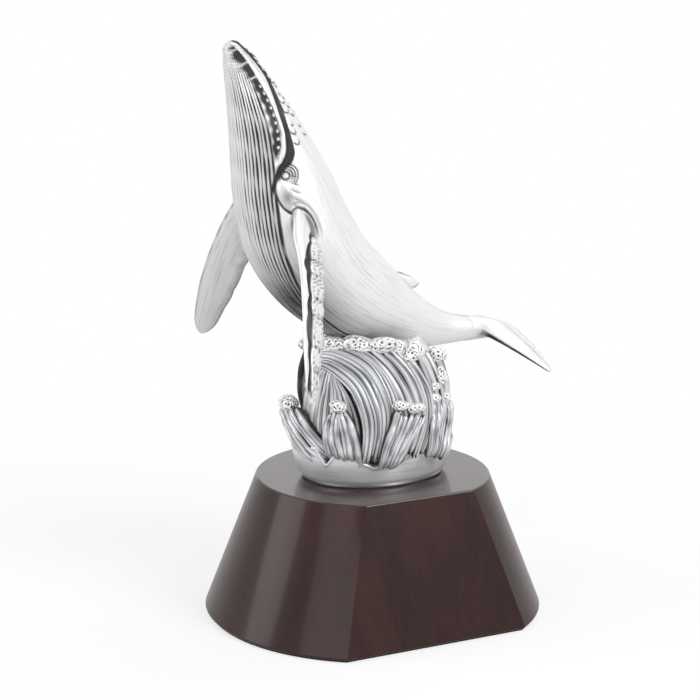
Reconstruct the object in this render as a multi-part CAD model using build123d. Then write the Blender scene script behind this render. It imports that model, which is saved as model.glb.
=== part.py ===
"""Breaching whale figurine: a cast whale on a cast wave group, screwed to a tapered wooden plinth.

Millimetres, +Z up. The origin lies on the plinth's axis at the surface that the figurine stands on.
The whale's head points to -X and up, its left side faces -Y, and so does the plinth's flat plate face.
"""
from build123d import *
import math
import os

# Driving dimensions, fits shared by all pieces
overrun = 2.0  # how far a cutting tool runs past the face that it cuts
solder_gap = 0.25  # gap between two castings that are soldered together
fit_clearance = 0.05  # radial gap round a dowel, spigot or insert
screw_clearance = 0.2  # radial gap round a screw's shank

# Felt pad
felt_thickness = 1.2
felt_inset = 2.0

# Plinth: a wooden cone frustum with one flat face for a name plate
plinth_height = 60.5
plinth_foot_radius = 75.0
plinth_top_radius = 51.5
plate_foot_offset = 61.4  # plate face from the plinth's axis, at the foot
plate_top_offset = 44.7
plinth_edge_radius = 0.8

# Fixings that hold the wave casting down on the plinth
screw_spacing = 30.0
screw_radius = 2.5
screw_head_radius = 4.4
screw_head_height = 3.0
screw_reach = 9.0  # length of thread above the plinth's top
hex_socket_width = 4.0
hex_socket_depth = 1.8
washer_radius = 5.4
washer_thickness = 1.0
counterbore_radius = 6.2
counterbore_depth = 34.0
insert_radius = 4.0
insert_length = 11.0

# Wave core: hollow casting, open underneath, that carries everything above
wave_height = 62.0
wave_half_length = 35.5
wave_half_depth = 27.5
wave_wall = 4.0
wave_roof = 16.0  # metal left above the hollow
boss_radius = 7.0
core_level_shares = (0.0, 0.06, 0.22, 0.48, 0.76, 1.0)
core_size_shares = (0.87, 0.96, 1.0, 0.95, 0.84, 0.66)

# Belly dowel: steel pin between wave core and whale
dowel_radius = 3.0
dowel_length = 26.0
dowel_depth = 14.0  # length of the dowel inside the wave core
dowel_chamfer = 0.5
dowel_boss_radius = 9.0
dowel_x = -2.0

# Whale body: spine stations from snout to tail stock
body_reach = 116.6  # snout to tail stock along X
body_rise = 131.2  # tail stock to snout along Z
body_depth = 47.6  # back to belly at the chest
body_wall = 3.5
tail_x = 50.0
belly_sink = 5.0  # how deep the belly lies in the wave's top at the dowel
along_shares = (0.0, 0.034, 0.096, 0.154, 0.207, 0.268, 0.37, 0.521, 0.713, 0.863, 1.0)
rise_shares = (1.0, 0.939, 0.806, 0.662, 0.514, 0.368, 0.242, 0.138, 0.049, 0.011, 0.0)
depth_shares = (0.12, 0.27, 0.5, 0.727, 0.916, 1.0, 0.962, 0.84, 0.542, 0.319, 0.21)
width_shares = (1.15, 1.1, 1.05, 1.02, 1.0, 1.0, 1.0, 0.97, 0.86, 0.78, 0.9)
section_shares = (0.0, 0.015, 0.04, 0.075, 0.115, 0.155, 0.195, 0.235, 0.27, 0.305, 0.345, 0.39,
                  0.435, 0.48, 0.525, 0.575, 0.625, 0.68, 0.74, 0.8, 0.86, 0.92, 0.965, 1.0)
cavity_end_shares = (0.115, 0.8)
belly_search_shares = (0.4, 0.8)
tangent_step_share = 0.004
plain_ring_points = 20
ring_reference_share = 0.24  # section whose columns set the loft's parameters

# Throat pleats and mouth line: where they run, as shares of the body's length and of the half turn
pleats_each_side = 11
pleat_depth = 0.22
pleat_place_shares = (0.0, 0.06, 0.12, 0.24, 0.33, 0.42, 0.6, 1.0)
pleat_end_shares = (0.5, 0.465, 0.44, 0.385, 0.33, 0.29, 0.22, 0.2)
pleat_fade_shares = (0.02, 0.1, 0.52, 0.66)
mouth_place_shares = (0.0, 0.03, 0.09, 0.13, 0.16, 0.19, 0.23, 0.26, 0.3, 1.0)
mouth_turn_shares = (0.8, 0.84, 0.82, 0.73, 0.67, 0.62, 0.56, 0.52, 0.5, 0.5)
mouth_fade_shares = (0.24, 0.31)
snout_fade_share = 0.05
lip_angle = 7.0
mouth_depth = 1.6
lip_height = 0.5
rostrum_slimming = 1.4
cheek_columns = 3
crown_columns = 3

# Dorsal fin
fin_station_share = 0.745
fin_length = 12.0
fin_height = 3.0
fin_thickness = 3.2
fin_rake = 13.0
fin_level_shares = (-0.35, 0.0, 0.4, 0.8, 1.0)
fin_length_shares = (1.0, 0.95, 0.8, 0.48, 0.12)
fin_thick_shares = (1.0, 0.9, 0.62, 0.36, 0.14)
fin_hook_power = 1.4

# Flippers
flipper_station_share = 0.41
flipper_angle = 77.0
flipper_length = 76.0
left_chord = 15.5
right_chord = 18.5
left_bow = 12.0  # how far the blade's knee lies tailward of its root
right_bow = -3.0
flipper_thickness = 5.2
flipper_knobs = 7
knob_height = 1.3
knob_fade_shares = (0.2, 0.35)
shoulder_reach = 10.0
shoulder_turn_share = 0.3  # share of the blade over which its chord turns away from the body
chord_shares = (1.05, 1.1, 1.0, 0.95, 0.92, 0.8, 0.42)
thickness_shares = (1.3, 1.1, 0.9, 0.75, 0.6, 0.45, 0.25)
left_span_shares = (-0.18, -0.47, -0.87)  # direction of each blade from root to tip
right_span_shares = (-0.12, -0.57, -0.81)
left_across_shares = (0.80, 0.60, 0.0)  # direction of each blade's chord below the shoulder
right_across_shares = (0.87, 0.49, 0.0)
spigot_half_width = 4.6
spigot_half_height = 3.0
spigot_inside = 1.5  # length of the spigot past the body's wall

# Tail flukes
fluke_half_span = 39.0
fluke_chord = 17.0
fluke_thickness = 8.4
fluke_sweep = 18.0
fluke_drop = 7.0  # how far both tips hang below the middle
fluke_sweep_power = 1.5
fluke_lap = 0.5
fluke_notch = 2.0
notch_reach_share = 0.25
fluke_droop_angle = 17.0  # degrees that the sweep falls below the tail stock's axis
fluke_pitch_angle = 12.0  # degrees that the blades' chord rises above it
fluke_spigot_radius = 2.2
fluke_spigot_length = 9.0
span_shares = (1.0, 0.88, 0.6, 0.28, 0.0)
fluke_chord_shares = (0.1, 0.28, 0.6, 0.84, 0.95)
fluke_thick_shares = (0.12, 0.2, 0.34, 0.56, 1.0)

# Breaking curls: ridged sheets of water that arch over the core's front and back
curl_azimuth_angle = 27.0  # degrees that the front curl is turned towards the head end
curl_eye_side = -11.0  # the curl's eye, sideways from the core's axis
curl_eye_height = 28.0  # the curl's eye above the plinth's top
curl_inner_radius = 5.5
curl_outer_radius = 36.0
curl_reach = 32.0  # how far the ridges stand out from the core's axis at the eye
curl_fall = 11.0  # how much less they stand out at the rim
curl_back = 4.0
curl_ridges = 6
ridge_depth = 1.3
curl_start_angle = -38.0
curl_sweep_angle = 165.0

# Splash jets: turn round the core, foot height, lean and head height of each one
jet_radius = 6.6
jet_ridges = 6
jet_ridge_depth = 0.7
jet_foot_height = 9.0
jet_head_height = 36.0
jet_lean = 9.0
jet_head_radius = 6.2
jet_head_thickness = 4.0
jet_sections = 4
jet_foot_share = 0.92  # foot and head of a jet's axis as shares of the core's skin
jet_head_share = 0.97
jet_knee_share = 0.25
jet_waist_share = 0.8
jet_shares = {
    "splash_jet_left": (-0.208, 0.9, 1.2, 1.0),
    "splash_jet_centre": (-0.111, 1.0, 0.4, 1.03),
    "splash_jet_front": (0.011, 0.9, 0.9, 0.97),
    "splash_jet_right": (0.106, 0.9, 0.45, 1.03),
    "splash_jet_tail": (0.292, 0.9, 1.0, 0.85),
    "splash_jet_back": (0.472, 0.9, 0.6, 1.0),
}

# Foam crests: lumpy ropes of foam along the seam between wave and belly
crest_radius = 5.2
crest_lump = 0.9
crest_lumps = 5
crest_end_share = 0.62
front_crest_shares = ((-0.78, -0.40, 0.88), (-0.50, -0.52, 0.975), (-0.10, -0.68, 0.985), (0.28, -0.74, 0.95),
                      (0.60, -0.66, 0.89), (0.74, -0.60, 0.82), (0.78, -0.60, 0.74))
back_crest_shares = ((-0.70, 0.36, 0.92), (-0.40, 0.60, 0.985), (0.0, 0.72, 0.985), (0.40, 0.68, 0.93),
                     (0.72, 0.48, 0.86))

plinth_top = felt_thickness + plinth_height
bottom = (Align.CENTER, Align.CENTER, Align.MIN)


def smoothstep(low, high, value):
    """0 below low, 1 above high, smooth between."""
    t = min(max((value - low) / (high - low), 0.0), 1.0)
    return t * t * (3 - 2 * t)


def along_stations(knots, values, at):
    """Cubic curve through station values, read at one place."""
    last = len(knots) - 1
    slopes = []
    for i in range(last + 1):
        before, after = max(i - 1, 0), min(i + 1, last)
        slopes.append((values[after] - values[before]) / (knots[after] - knots[before]))
    i = max(k for k in range(last) if knots[k] <= at or k == 0)
    span = knots[i + 1] - knots[i]
    t = (at - knots[i]) / span
    return ((1 + 2 * t) * (1 - t) ** 2 * values[i] + t * (1 - t) ** 2 * span * slopes[i]
            + t * t * (3 - 2 * t) * values[i + 1] + t * t * (t - 1) * span * slopes[i + 1])


def closed_spline(points, parameters):
    """A closed smooth wire through points, at the same parameters in every section of a loft."""
    return Wire([Edge.make_spline(points, periodic=True, parameters=parameters)])


def ellipse_wire(centre, long_axis, normal, half_long, half_short):
    """An ellipse round centre, in the plane that is square to normal."""
    return (Plane(origin=centre, x_dir=long_axis, z_dir=normal) * Ellipse(half_long, half_short)).wire()


def upright(radius, height, x, y, z):
    """A vertical cylinder that stands on z."""
    return Pos(x, y, z) * Cylinder(radius, height, align=bottom)


# The whale's spine: knots are shares of its length, heights are above the tail stock's axis
spine_x = [tail_x - body_reach * (1 - share) for share in along_shares]
spine_z = [body_rise * share for share in rise_shares]
spine_knots = [0.0]
for step in range(1, len(spine_x)):
    run = math.hypot(spine_x[step] - spine_x[step - 1], spine_z[step] - spine_z[step - 1])
    spine_knots.append(spine_knots[-1] + run)
spine_knots = [knot / spine_knots[-1] for knot in spine_knots]


def bare_spine(share):
    """Centre above the tail stock's axis, dorsal and tail direction at a share of the body's length."""
    ahead, behind = min(share + tangent_step_share, 1.0), max(share - tangent_step_share, 0.0)
    places = []
    for at in (behind, share, ahead):
        x, z = along_stations(spine_knots, spine_x, at), along_stations(spine_knots, spine_z, at)
        places.append(Vector(x, 0, z))
    tailward = (places[2] - places[0]).normalized()
    return places[1], Vector(-tailward.Z, 0, tailward.X), tailward


def half_depth(share):
    """Half of the body's depth from back to belly."""
    return body_depth / 2 * along_stations(spine_knots, depth_shares, share)


def bare_belly(share):
    """The belly's middle line, above the tail stock's axis."""
    centre, dorsal, _ = bare_spine(share)
    return centre - dorsal * half_depth(share)


def dowel_share():
    """Share of the body's length at which its belly lies over the dowel."""
    low, high = belly_search_shares
    while high - low > tangent_step_share / 100:
        middle = (low + high) / 2
        if bare_belly(middle).X < dowel_x:
            low = middle
        else:
            high = middle
    return low


# The belly rests in the wave's top, and that sets the height of the whole whale
belly_height = plinth_top + wave_height - belly_sink
tail_height = belly_height - bare_belly(dowel_share()).Z


def spine(share):
    """Centre, dorsal direction and tail direction at a share of the body's length."""
    centre, dorsal, tailward = bare_spine(share)
    return centre + Vector(0, 0, tail_height), dorsal, tailward


def body_point(share, angle, grow=0.0):
    """A point of the body's skin. Angle 0 is the belly's middle line and 90 the left side."""
    centre, dorsal, _ = spine(share)
    half_width = half_depth(share) * along_stations(spine_knots, width_shares, share)
    turn = math.radians(angle)
    return (centre - dorsal * (math.cos(turn) * (half_depth(share) + grow))
            - Vector(0, math.sin(turn) * (half_width + grow), 0))


def carved_ring(share):
    """Angle and relief of each column of a carved section, from the belly up the left side."""
    pleat_fade = smoothstep(*pleat_fade_shares[:2], share) * (1 - smoothstep(*pleat_fade_shares[2:], share))
    mouth_fade = smoothstep(0.0, snout_fade_share, share) * (1 - smoothstep(*mouth_fade_shares, share))
    pleat_end = 180 * along_stations(pleat_place_shares, pleat_end_shares, share)
    mouth = 180 * along_stations(mouth_place_shares, mouth_turn_shares, share)
    half = []
    for k in range(2 * pleats_each_side + 1):
        half.append((pleat_end * k / (2 * pleats_each_side), -pleat_depth * pleat_fade * (k % 2)))
    for k in range(1, cheek_columns + 2):
        t = k / (cheek_columns + 1)
        half.append((pleat_end + (mouth - lip_angle - pleat_end) * t, lip_height * mouth_fade * t * t))
    half.append((mouth, -mouth_depth * mouth_fade))
    for k in range(crown_columns + 2):
        t = k / (crown_columns + 1)
        crown = mouth + lip_angle + (180 - mouth - lip_angle) * t
        half.append((crown, -rostrum_slimming * mouth_fade * (1 - t)))
    return half + [(360 - angle, relief) for angle, relief in reversed(half[1:-1])]


def plain_ring(share):
    """Angles of a plain section, with no relief."""
    return [(360.0 * step / plain_ring_points, 0.0) for step in range(plain_ring_points)]


def body_solid(ring_of, grow=0.0, ends=(0.0, 1.0)):
    """The body as a loft of its sections between two shares of its length."""
    first, last = ends
    parameters = [angle / 360 for angle, _ in ring_of(ring_reference_share)] + [1.0]
    wires = []
    for share in [first] + [s for s in section_shares if first < s < last] + [last]:
        points = [body_point(share, angle, grow + relief) for angle, relief in ring_of(share)]
        wires.append(closed_spline(points, parameters))
    return Solid.make_loft(wires)


def skin_normal(share, angle):
    """Outward direction of the plain skin."""
    _, dorsal, _ = spine(share)
    turn = math.radians(angle)
    return (dorsal * -math.cos(turn) - Vector(0, math.sin(turn), 0)).normalized()


def make_felt_pad():
    """Felt sheet under the plinth, cut to its outline less an inset."""
    disc = Cylinder(plinth_foot_radius - felt_inset, felt_thickness, align=bottom)
    front = Pos(0, -plate_foot_offset + felt_inset, 0) * Box(
        4 * plinth_foot_radius, 2 * plinth_foot_radius, 4 * felt_thickness,
        align=(Align.CENTER, Align.MAX, Align.CENTER))
    return disc - front


def screw_places():
    """The two fixing screws stand either side of the dowel."""
    return [(dowel_x - screw_spacing / 2, 0.0), (dowel_x + screw_spacing / 2, 0.0)]


def make_plinth():
    """Cone frustum, cut by the tilted plate face, eased edges, counterbored from below."""
    cone = Cone(plinth_foot_radius, plinth_top_radius, plinth_height, align=bottom)
    tilt = math.degrees(math.atan2(plate_foot_offset - plate_top_offset, plinth_height))
    front = Pos(0, -plate_foot_offset, 0) * Rot(-tilt, 0, 0) * Box(
        4 * plinth_foot_radius, 2 * plinth_foot_radius, 4 * plinth_height,
        align=(Align.CENTER, Align.MAX, Align.CENTER))
    plinth = Pos(0, 0, felt_thickness) * (cone - front)
    plinth = fillet(plinth.edges(), plinth_edge_radius)
    for x, y in screw_places():
        plinth -= upright(counterbore_radius, counterbore_depth + overrun, x, y, felt_thickness - overrun)
        plinth -= upright(screw_radius + screw_clearance, plinth_height + overrun, x, y, felt_thickness)
    return plinth


def make_fixings():
    """Socket screws, washers and threaded inserts, each a pair."""
    head_top = felt_thickness + counterbore_depth - washer_thickness
    socket_sketch = RegularPolygon(hex_socket_width / 2, 6, major_radius=False)
    screws, washers, inserts = [], [], []
    for x, y in screw_places():
        washer = upright(washer_radius, washer_thickness, x, y, head_top)
        washer -= upright(screw_radius + screw_clearance, 2 * overrun, x, y, head_top - overrun / 2)
        head = upright(screw_head_radius, screw_head_height, x, y, head_top - screw_head_height)
        shank = upright(screw_radius, plinth_top + screw_reach - head_top, x, y, head_top)
        socket = Pos(x, y, head_top - screw_head_height) * extrude(socket_sketch, hex_socket_depth)
        insert = upright(insert_radius, insert_length, x, y, plinth_top)
        insert -= upright(screw_radius + fit_clearance, 2 * insert_length, x, y, plinth_top - overrun)
        washers.append(washer)
        screws.append(head + shank - socket)
        inserts.append(insert)
    return Compound(screws), Compound(washers), Compound(inserts)


def core_solid(height, inset=0.0, below=0.0):
    """The core's swelling outline as a loft of ellipses, inset or grown."""
    sections = []
    for level, size in zip(core_level_shares, core_size_shares):
        oval = Ellipse(wave_half_length * size - inset, wave_half_depth * size - inset)
        sections.append(Pos(0, 0, plinth_top + height * level - (below if level == 0 else 0)) * oval)
    return loft(sections)


def make_wave_core(body_cutter):
    """Hollow swell with a saddle for the belly, bosses for the screws and a socket for the dowel."""
    hollow = core_solid(wave_height - wave_roof, wave_wall, overrun)
    for x, y in screw_places():
        hollow -= upright(boss_radius, wave_height, x, y, plinth_top - 2 * overrun)
    hollow -= upright(dowel_boss_radius, wave_height, dowel_x, 0, plinth_top - 2 * overrun)
    core = core_solid(wave_height) - body_cutter - hollow
    for x, y in screw_places():
        core -= upright(insert_radius + fit_clearance, insert_length + overrun, x, y, plinth_top - overrun)
    return core - dowel_hole()


def dowel_hole():
    """Blind hole for the dowel through belly and core."""
    foot = belly_height - dowel_depth - fit_clearance
    return upright(dowel_radius + fit_clearance, dowel_length + 2 * fit_clearance, dowel_x, 0, foot)


def make_belly_dowel():
    """Plain pin with chamfered ends."""
    pin = upright(dowel_radius, dowel_length, dowel_x, 0, belly_height - dowel_depth)
    return chamfer(pin.edges().filter_by(GeomType.CIRCLE), dowel_chamfer)


def make_dorsal_fin():
    """Small hooked fin, lofted up from the back and raked towards the tail."""
    _, dorsal, tailward = spine(fin_station_share)
    foot = body_point(fin_station_share, 180)
    wires = []
    for level, length_share, thick_share in zip(fin_level_shares, fin_length_shares, fin_thick_shares):
        place = foot + dorsal * (level * fin_height) + tailward * (fin_rake * max(level, 0) ** fin_hook_power)
        half_length, half_thick = fin_length / 2 * length_share, fin_thickness / 2 * thick_share
        wires.append(ellipse_wire(place, tailward, dorsal, half_length, half_thick))
    return Solid.make_loft(wires)


def flipper_root(side):
    """Root on the skin, outward direction and direction along the body. Side is 1 left and -1 right."""
    angle = flipper_angle if side > 0 else 360 - flipper_angle
    normal = skin_normal(flipper_station_share, angle)
    _, _, tailward = spine(flipper_station_share)
    along = (tailward - normal * tailward.dot(normal)).normalized()
    return body_point(flipper_station_share, angle), normal, along


def flipper_spigot(side, extra=0.0):
    """Oval plug that passes through the body's wall, or the hole for it."""
    root, normal, along = flipper_root(side)
    plane = Plane(origin=root - normal * (body_wall + spigot_inside), x_dir=along, z_dir=normal)
    oval = Ellipse(spigot_half_width + extra, spigot_half_height + extra)
    return plane * extrude(oval, body_wall + spigot_inside + shoulder_reach / 3)


def flipper_blade(root_chord, bow, blade_shares, across_shares):
    """A left blade that leaves the body square to the skin and bends down, with knobs on one edge."""
    root, normal, along = flipper_root(1)
    start = root - normal * overrun
    corner = root + normal * shoulder_reach + along * bow
    tip = root + Vector(*blade_shares).normalized() * flipper_length
    knots = list(range(len(chord_shares)))
    stations = 3 * flipper_knobs
    wires = []
    for step in range(stations + 1):
        t = step / stations
        place = start * (1 - t) ** 2 + corner * (2 * t * (1 - t)) + tip * t * t
        tangent = ((corner - start) * (1 - t) + (tip - corner) * t).normalized()
        chord = root_chord * along_stations(knots, chord_shares, t * knots[-1])
        thick = flipper_thickness * along_stations(knots, thickness_shares, t * knots[-1])
        knob = knob_height * math.sin(math.pi * flipper_knobs * t) ** 2
        knob *= smoothstep(*knob_fade_shares, t) * (1 - t)
        turned = smoothstep(0.0, shoulder_turn_share, t)
        facing = (normal * (1 - turned) + tangent * turned).normalized()
        aim = along * (1 - turned) + Vector(*across_shares) * turned
        chordwise = (aim - facing * aim.dot(facing)).normalized()
        middle = place + chordwise * (knob / 2)
        wires.append(ellipse_wire(middle, chordwise, facing, (chord + knob) / 2, thick / 2))
    return Solid.make_loft(wires)


def make_flipper(side, blade, body_cutter):
    """Blade that seats on the skin, with its spigot. The right one is built as a left one and mirrored."""
    if side < 0:
        blade = mirror(blade, about=Plane.XZ)
    return blade - body_cutter + flipper_spigot(side)


def fluke_spigot(extra=0.0):
    """Round plug in the tail stock's end, or the hole for it."""
    centre, _, tailward = spine(1.0)
    plane = Plane(origin=centre - tailward * fluke_spigot_length, z_dir=tailward)
    return plane * extrude(Circle(fluke_spigot_radius + extra), fluke_spigot_length + overrun)


def make_tail_flukes(body_cutter):
    """Two swept blades in one casting, notched in the middle, plugged into the tail stock."""
    centre, dorsal, tailward = spine(1.0)
    droop, pitch = math.radians(fluke_droop_angle), math.radians(fluke_pitch_angle)
    back = tailward * math.cos(droop) - dorsal * math.sin(droop)
    chordwise = tailward * math.cos(pitch) + dorsal * math.sin(pitch)
    left = Vector(0, -1, 0)
    rows = list(zip(span_shares, fluke_chord_shares, fluke_thick_shares))
    rows += [(-span, chord_share, thick_share) for span, chord_share, thick_share in reversed(rows[:-1])]
    wires = []
    for span, chord_share, thick_share in rows:
        notch = fluke_notch * (1 - smoothstep(0.0, notch_reach_share, abs(span)))
        half_chord = (fluke_chord * chord_share - notch) / 2
        swept = abs(span) ** fluke_sweep_power
        edge = centre + left * (span * fluke_half_span) + back * (fluke_sweep * swept - fluke_lap)
        place = edge - dorsal * (fluke_drop * swept) + chordwise * half_chord
        wires.append(ellipse_wire(place, chordwise, left, half_chord, fluke_thickness / 2 * thick_share))
    return Solid.make_loft(wires) - body_cutter + fluke_spigot()


def make_whale_body():
    """Slush-cast shell with pleats, mouth line and dorsal fin, a dowel boss and sockets for the fins."""
    cavity = body_solid(plain_ring, -body_wall, cavity_end_shares)
    boss_height = dowel_length - dowel_depth + body_wall + body_depth
    cavity -= upright(dowel_boss_radius, boss_height, dowel_x, 0, belly_height - body_depth)
    shell = body_solid(carved_ring) + make_dorsal_fin() - cavity
    for side in (1, -1):
        shell -= flipper_spigot(side, fit_clearance)
    return shell - fluke_spigot(fit_clearance) - dowel_hole()


def curl_height(radius):
    """How far the curl's sheet stands out at a radius from its eye."""
    return curl_reach - curl_fall * (radius / curl_outer_radius) ** 2


def make_curl(turned, grow=0.0):
    """Concentric ridges revolved round the curl's eye. Grown, it is a plain cutter for its neighbours."""
    azimuth = math.radians(turned - curl_azimuth_angle)
    across = Vector(math.cos(azimuth), math.sin(azimuth), 0)
    facing = Vector(math.sin(azimuth), -math.cos(azimuth), 0)
    eye = across * curl_eye_side + Vector(0, 0, plinth_top + curl_eye_height)
    turn = math.radians(curl_start_angle)
    radial = across * math.cos(turn) + Vector(0, 0, math.sin(turn))
    inner, outer = curl_inner_radius - grow, curl_outer_radius + grow
    pitch = (outer - inner) / curl_ridges
    valleys = [(inner + pitch * k, curl_height(inner + pitch * k)) for k in range(curl_ridges + 1)]
    if grow:
        skin = [Spline([(radius, height + ridge_depth + grow) for radius, height in valleys])]
    else:
        skin = []
        for k in range(curl_ridges):
            middle = inner + pitch * (k + 0.5)
            crest = (middle, curl_height(middle) + ridge_depth)
            skin.append(ThreePointArc(valleys[k], crest, valleys[k + 1]))
    first, last = skin[0] @ 0, skin[-1] @ 1
    rim = Polyline((last.X, last.Y), (outer, curl_back), (inner, curl_back), (first.X, first.Y))
    section = Plane(origin=eye, x_dir=radial, z_dir=radial.cross(facing)) * make_face(skin + [rim])
    return revolve(section, Axis(eye, facing), curl_sweep_angle)


def seated(shape, cutters):
    """A casting with its neighbours cut out of it. Slivers behind them are dropped."""
    for cutter in cutters:
        shape -= cutter
    return max(shape.solids(), key=lambda solid: solid.volume)


def make_jet(turn_share, foot_share, lean_share, head_share):
    """Ridged stalk that stands on the core's flank, leans out and ends in a foam head."""
    turn = 2 * math.pi * turn_share
    out = Vector(math.sin(turn), -math.cos(turn), 0)
    skin = Vector(wave_half_length * out.X, wave_half_depth * out.Y, 0)
    foot = skin * jet_foot_share + Vector(0, 0, plinth_top + jet_foot_height * foot_share)
    head = skin * jet_head_share + Vector(0, 0, plinth_top + jet_head_height * head_share)
    head += out * (jet_lean * lean_share)
    knee = (foot + head) / 2 + out * (jet_lean * jet_knee_share)
    count = 2 * jet_ridges
    wires = []
    for step in range(jet_sections + 1):
        t = step / jet_sections
        centre = foot * (1 - t) ** 2 + knee * (2 * t * (1 - t)) + head * t * t
        tangent = ((knee - foot) * (1 - t) + (head - knee) * t).normalized()
        plane = Plane(origin=centre, x_dir=tangent.cross(out), z_dir=tangent)
        radius = jet_radius * (jet_waist_share + (1 - jet_waist_share) * t * t)
        points = []
        for k in range(count):
            length = radius - jet_ridge_depth * (k % 2)
            spot = Vector(length, 0, 0).rotate(Axis.Z, 360 * k / count)
            points.append(plane.from_local_coords(spot))
        wires.append(closed_spline(points, [k / count for k in range(count + 1)]))
    head_plane = Plane(origin=head, z_dir=(head - knee).normalized())
    cap = head_plane * scale(Sphere(1), (jet_head_radius, jet_head_radius, jet_head_thickness))
    return Solid.make_loft(wires) + cap


def make_foam_crest(place_shares):
    """A lumpy rope of foam along a hand-placed route, slimmer at both ends."""
    route = []
    for x_share, y_share, z_share in place_shares:
        z = plinth_top + z_share * wave_height
        route.append(Vector(x_share * wave_half_length, y_share * wave_half_depth, z))
    path = Edge.make_spline(route)
    wires = []
    sections = 2 * crest_lumps
    for step in range(sections + 1):
        t = step / sections
        slim = crest_end_share + (1 - crest_end_share) * math.sin(math.pi * t)
        radius = crest_radius * slim + crest_lump * (step % 2)
        wires.append(Wire.make_circle(radius, Plane(origin=path @ t, z_dir=path % t)))
    return Solid.make_loft(wires)


def build():
    """All pieces by node name, each seated on the ones before it."""
    body_cutter = body_solid(plain_ring, solder_gap)
    core_cutter = core_solid(wave_height, -solder_gap)
    pieces = {"felt_pad": make_felt_pad(), "plinth": make_plinth()}
    pieces["fixing_screws"], pieces["fixing_washers"], pieces["threaded_inserts"] = make_fixings()
    pieces["wave_core"] = make_wave_core(body_cutter)
    pieces["belly_dowel"] = make_belly_dowel()
    pieces["whale_body"] = make_whale_body()
    left_blade = flipper_blade(left_chord, left_bow, left_span_shares, left_across_shares)
    right_blade = flipper_blade(right_chord, right_bow, right_span_shares, right_across_shares)
    pieces["left_flipper"] = make_flipper(1, left_blade, body_cutter)
    pieces["right_flipper"] = make_flipper(-1, right_blade, body_cutter)
    pieces["tail_flukes"] = make_tail_flukes(body_cutter)
    water = [body_cutter, core_cutter]
    for name, turned in (("wave_curl_front", 0.0), ("wave_curl_back", 180.0)):
        pieces[name] = seated(make_curl(turned), water)
    water += [make_curl(0.0, solder_gap), make_curl(180.0, solder_gap)]
    for name, shares in jet_shares.items():
        pieces[name] = seated(make_jet(*shares), water)
    for name, shares in (("foam_crest_front", front_crest_shares), ("foam_crest_back", back_crest_shares)):
        pieces[name] = seated(make_foam_crest(shares), water)
    return pieces


if __name__ == "__main__":
    os.makedirs("parts", exist_ok=True)
    for node, shape in build().items():
        export_step(shape, f"parts/{node}.step")
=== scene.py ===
import bpy
import math
import numpy as np
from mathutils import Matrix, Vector


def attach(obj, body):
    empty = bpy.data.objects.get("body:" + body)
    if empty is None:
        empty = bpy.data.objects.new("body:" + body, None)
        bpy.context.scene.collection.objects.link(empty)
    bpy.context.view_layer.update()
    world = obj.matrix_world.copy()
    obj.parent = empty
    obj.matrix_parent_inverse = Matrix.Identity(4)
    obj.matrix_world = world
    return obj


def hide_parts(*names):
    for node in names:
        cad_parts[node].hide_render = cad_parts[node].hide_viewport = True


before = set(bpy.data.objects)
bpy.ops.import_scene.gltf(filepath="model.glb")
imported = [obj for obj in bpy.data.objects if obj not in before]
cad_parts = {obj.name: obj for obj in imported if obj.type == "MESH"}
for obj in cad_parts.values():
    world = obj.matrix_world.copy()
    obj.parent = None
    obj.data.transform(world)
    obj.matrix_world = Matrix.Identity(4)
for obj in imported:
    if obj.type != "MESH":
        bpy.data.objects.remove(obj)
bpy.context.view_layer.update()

mm = 0.001
tiny = 1e-9
noiseMiddle = 0.5
print("frame loaded with", len(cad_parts), "nodes")


# shared helpers: every place below is in millimetres until a mesh is written
def clearSelection():
    bpy.ops.object.select_all(action="DESELECT")


def smooth(low, high, value):
    t = np.clip((value - low) / (high - low), 0.0, 1.0)
    return t * t * (3 - 2 * t)


def fading(low, high, value):
    return 1 - smooth(low, high, value)


# rises from the first to the second of four values, falls from the third to the fourth
def window(ends, value):
    return smooth(*ends[:2], value) * fading(*ends[2:], value)


def bell(distance, width):
    return np.exp(-(distance / width) ** 2)


# settings of three: a size, then where it rises, where it falls, or the middle and width of a bell
def rise(spec, value):
    return spec[0] * smooth(*spec[1:], value)


def fall(spec, value):
    return spec[0] * fading(*spec[1:], value)


def hump(spec, value):
    return spec[0] * bell(value - spec[1], spec[2])


def unit(v):
    return v / np.maximum(np.linalg.norm(v, axis=-1, keepdims=True), tiny)


# a direction, or one per point, times an amount per point
def scaled(direction, amount):
    return direction * amount[:, None]


def squareTo(axis, v):
    return v - axis * (v * axis).sum(-1, keepdims=True)


# sine waves multiplied together, each with its rate along a run and its slant across it
def sway(along, across, waves):
    total = 1.0
    for rate, slant in waves:
        total = total * np.sin(along * rate + across * slant)
    return total


# sine waves added up, each with its size, its rate along a run and its shift
def waves(rows, along, phase=1.0):
    return sum(size * np.sin(along * rate + shift * phase) for size, rate, shift in rows)


# 1 along a run, but for a round start over its first reach
def roundEnd(share, reach):
    return np.sqrt(np.clip(1 - (1 - np.clip(share / reach, 0, 1)) ** 2, 0, 1))


# smooth curve through given values, read at many places
def curveThrough(knots, values, at):
    knots = np.asarray(knots, float)
    values = np.asarray(values, float)
    last = len(knots) - 1
    after = np.minimum(np.arange(last + 1) + 1, last)
    before = np.maximum(np.arange(last + 1) - 1, 0)
    gap = (knots[after] - knots[before]).reshape((-1,) + (1,) * (values.ndim - 1))
    slopes = (values[after] - values[before]) / gap
    i = np.clip(np.searchsorted(knots, at, side="right") - 1, 0, last - 1)
    span = knots[i + 1] - knots[i]
    t = (at - knots[i]) / span
    if values.ndim > 1:
        t = t[:, None]
        span = span[:, None]
    start = (1 + 2 * t) * (1 - t) ** 2 * values[i] + t * (1 - t) ** 2 * span * slopes[i]
    return start + t * t * (3 - 2 * t) * values[i + 1] + t * t * (t - 1) * span * slopes[i + 1]


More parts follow.
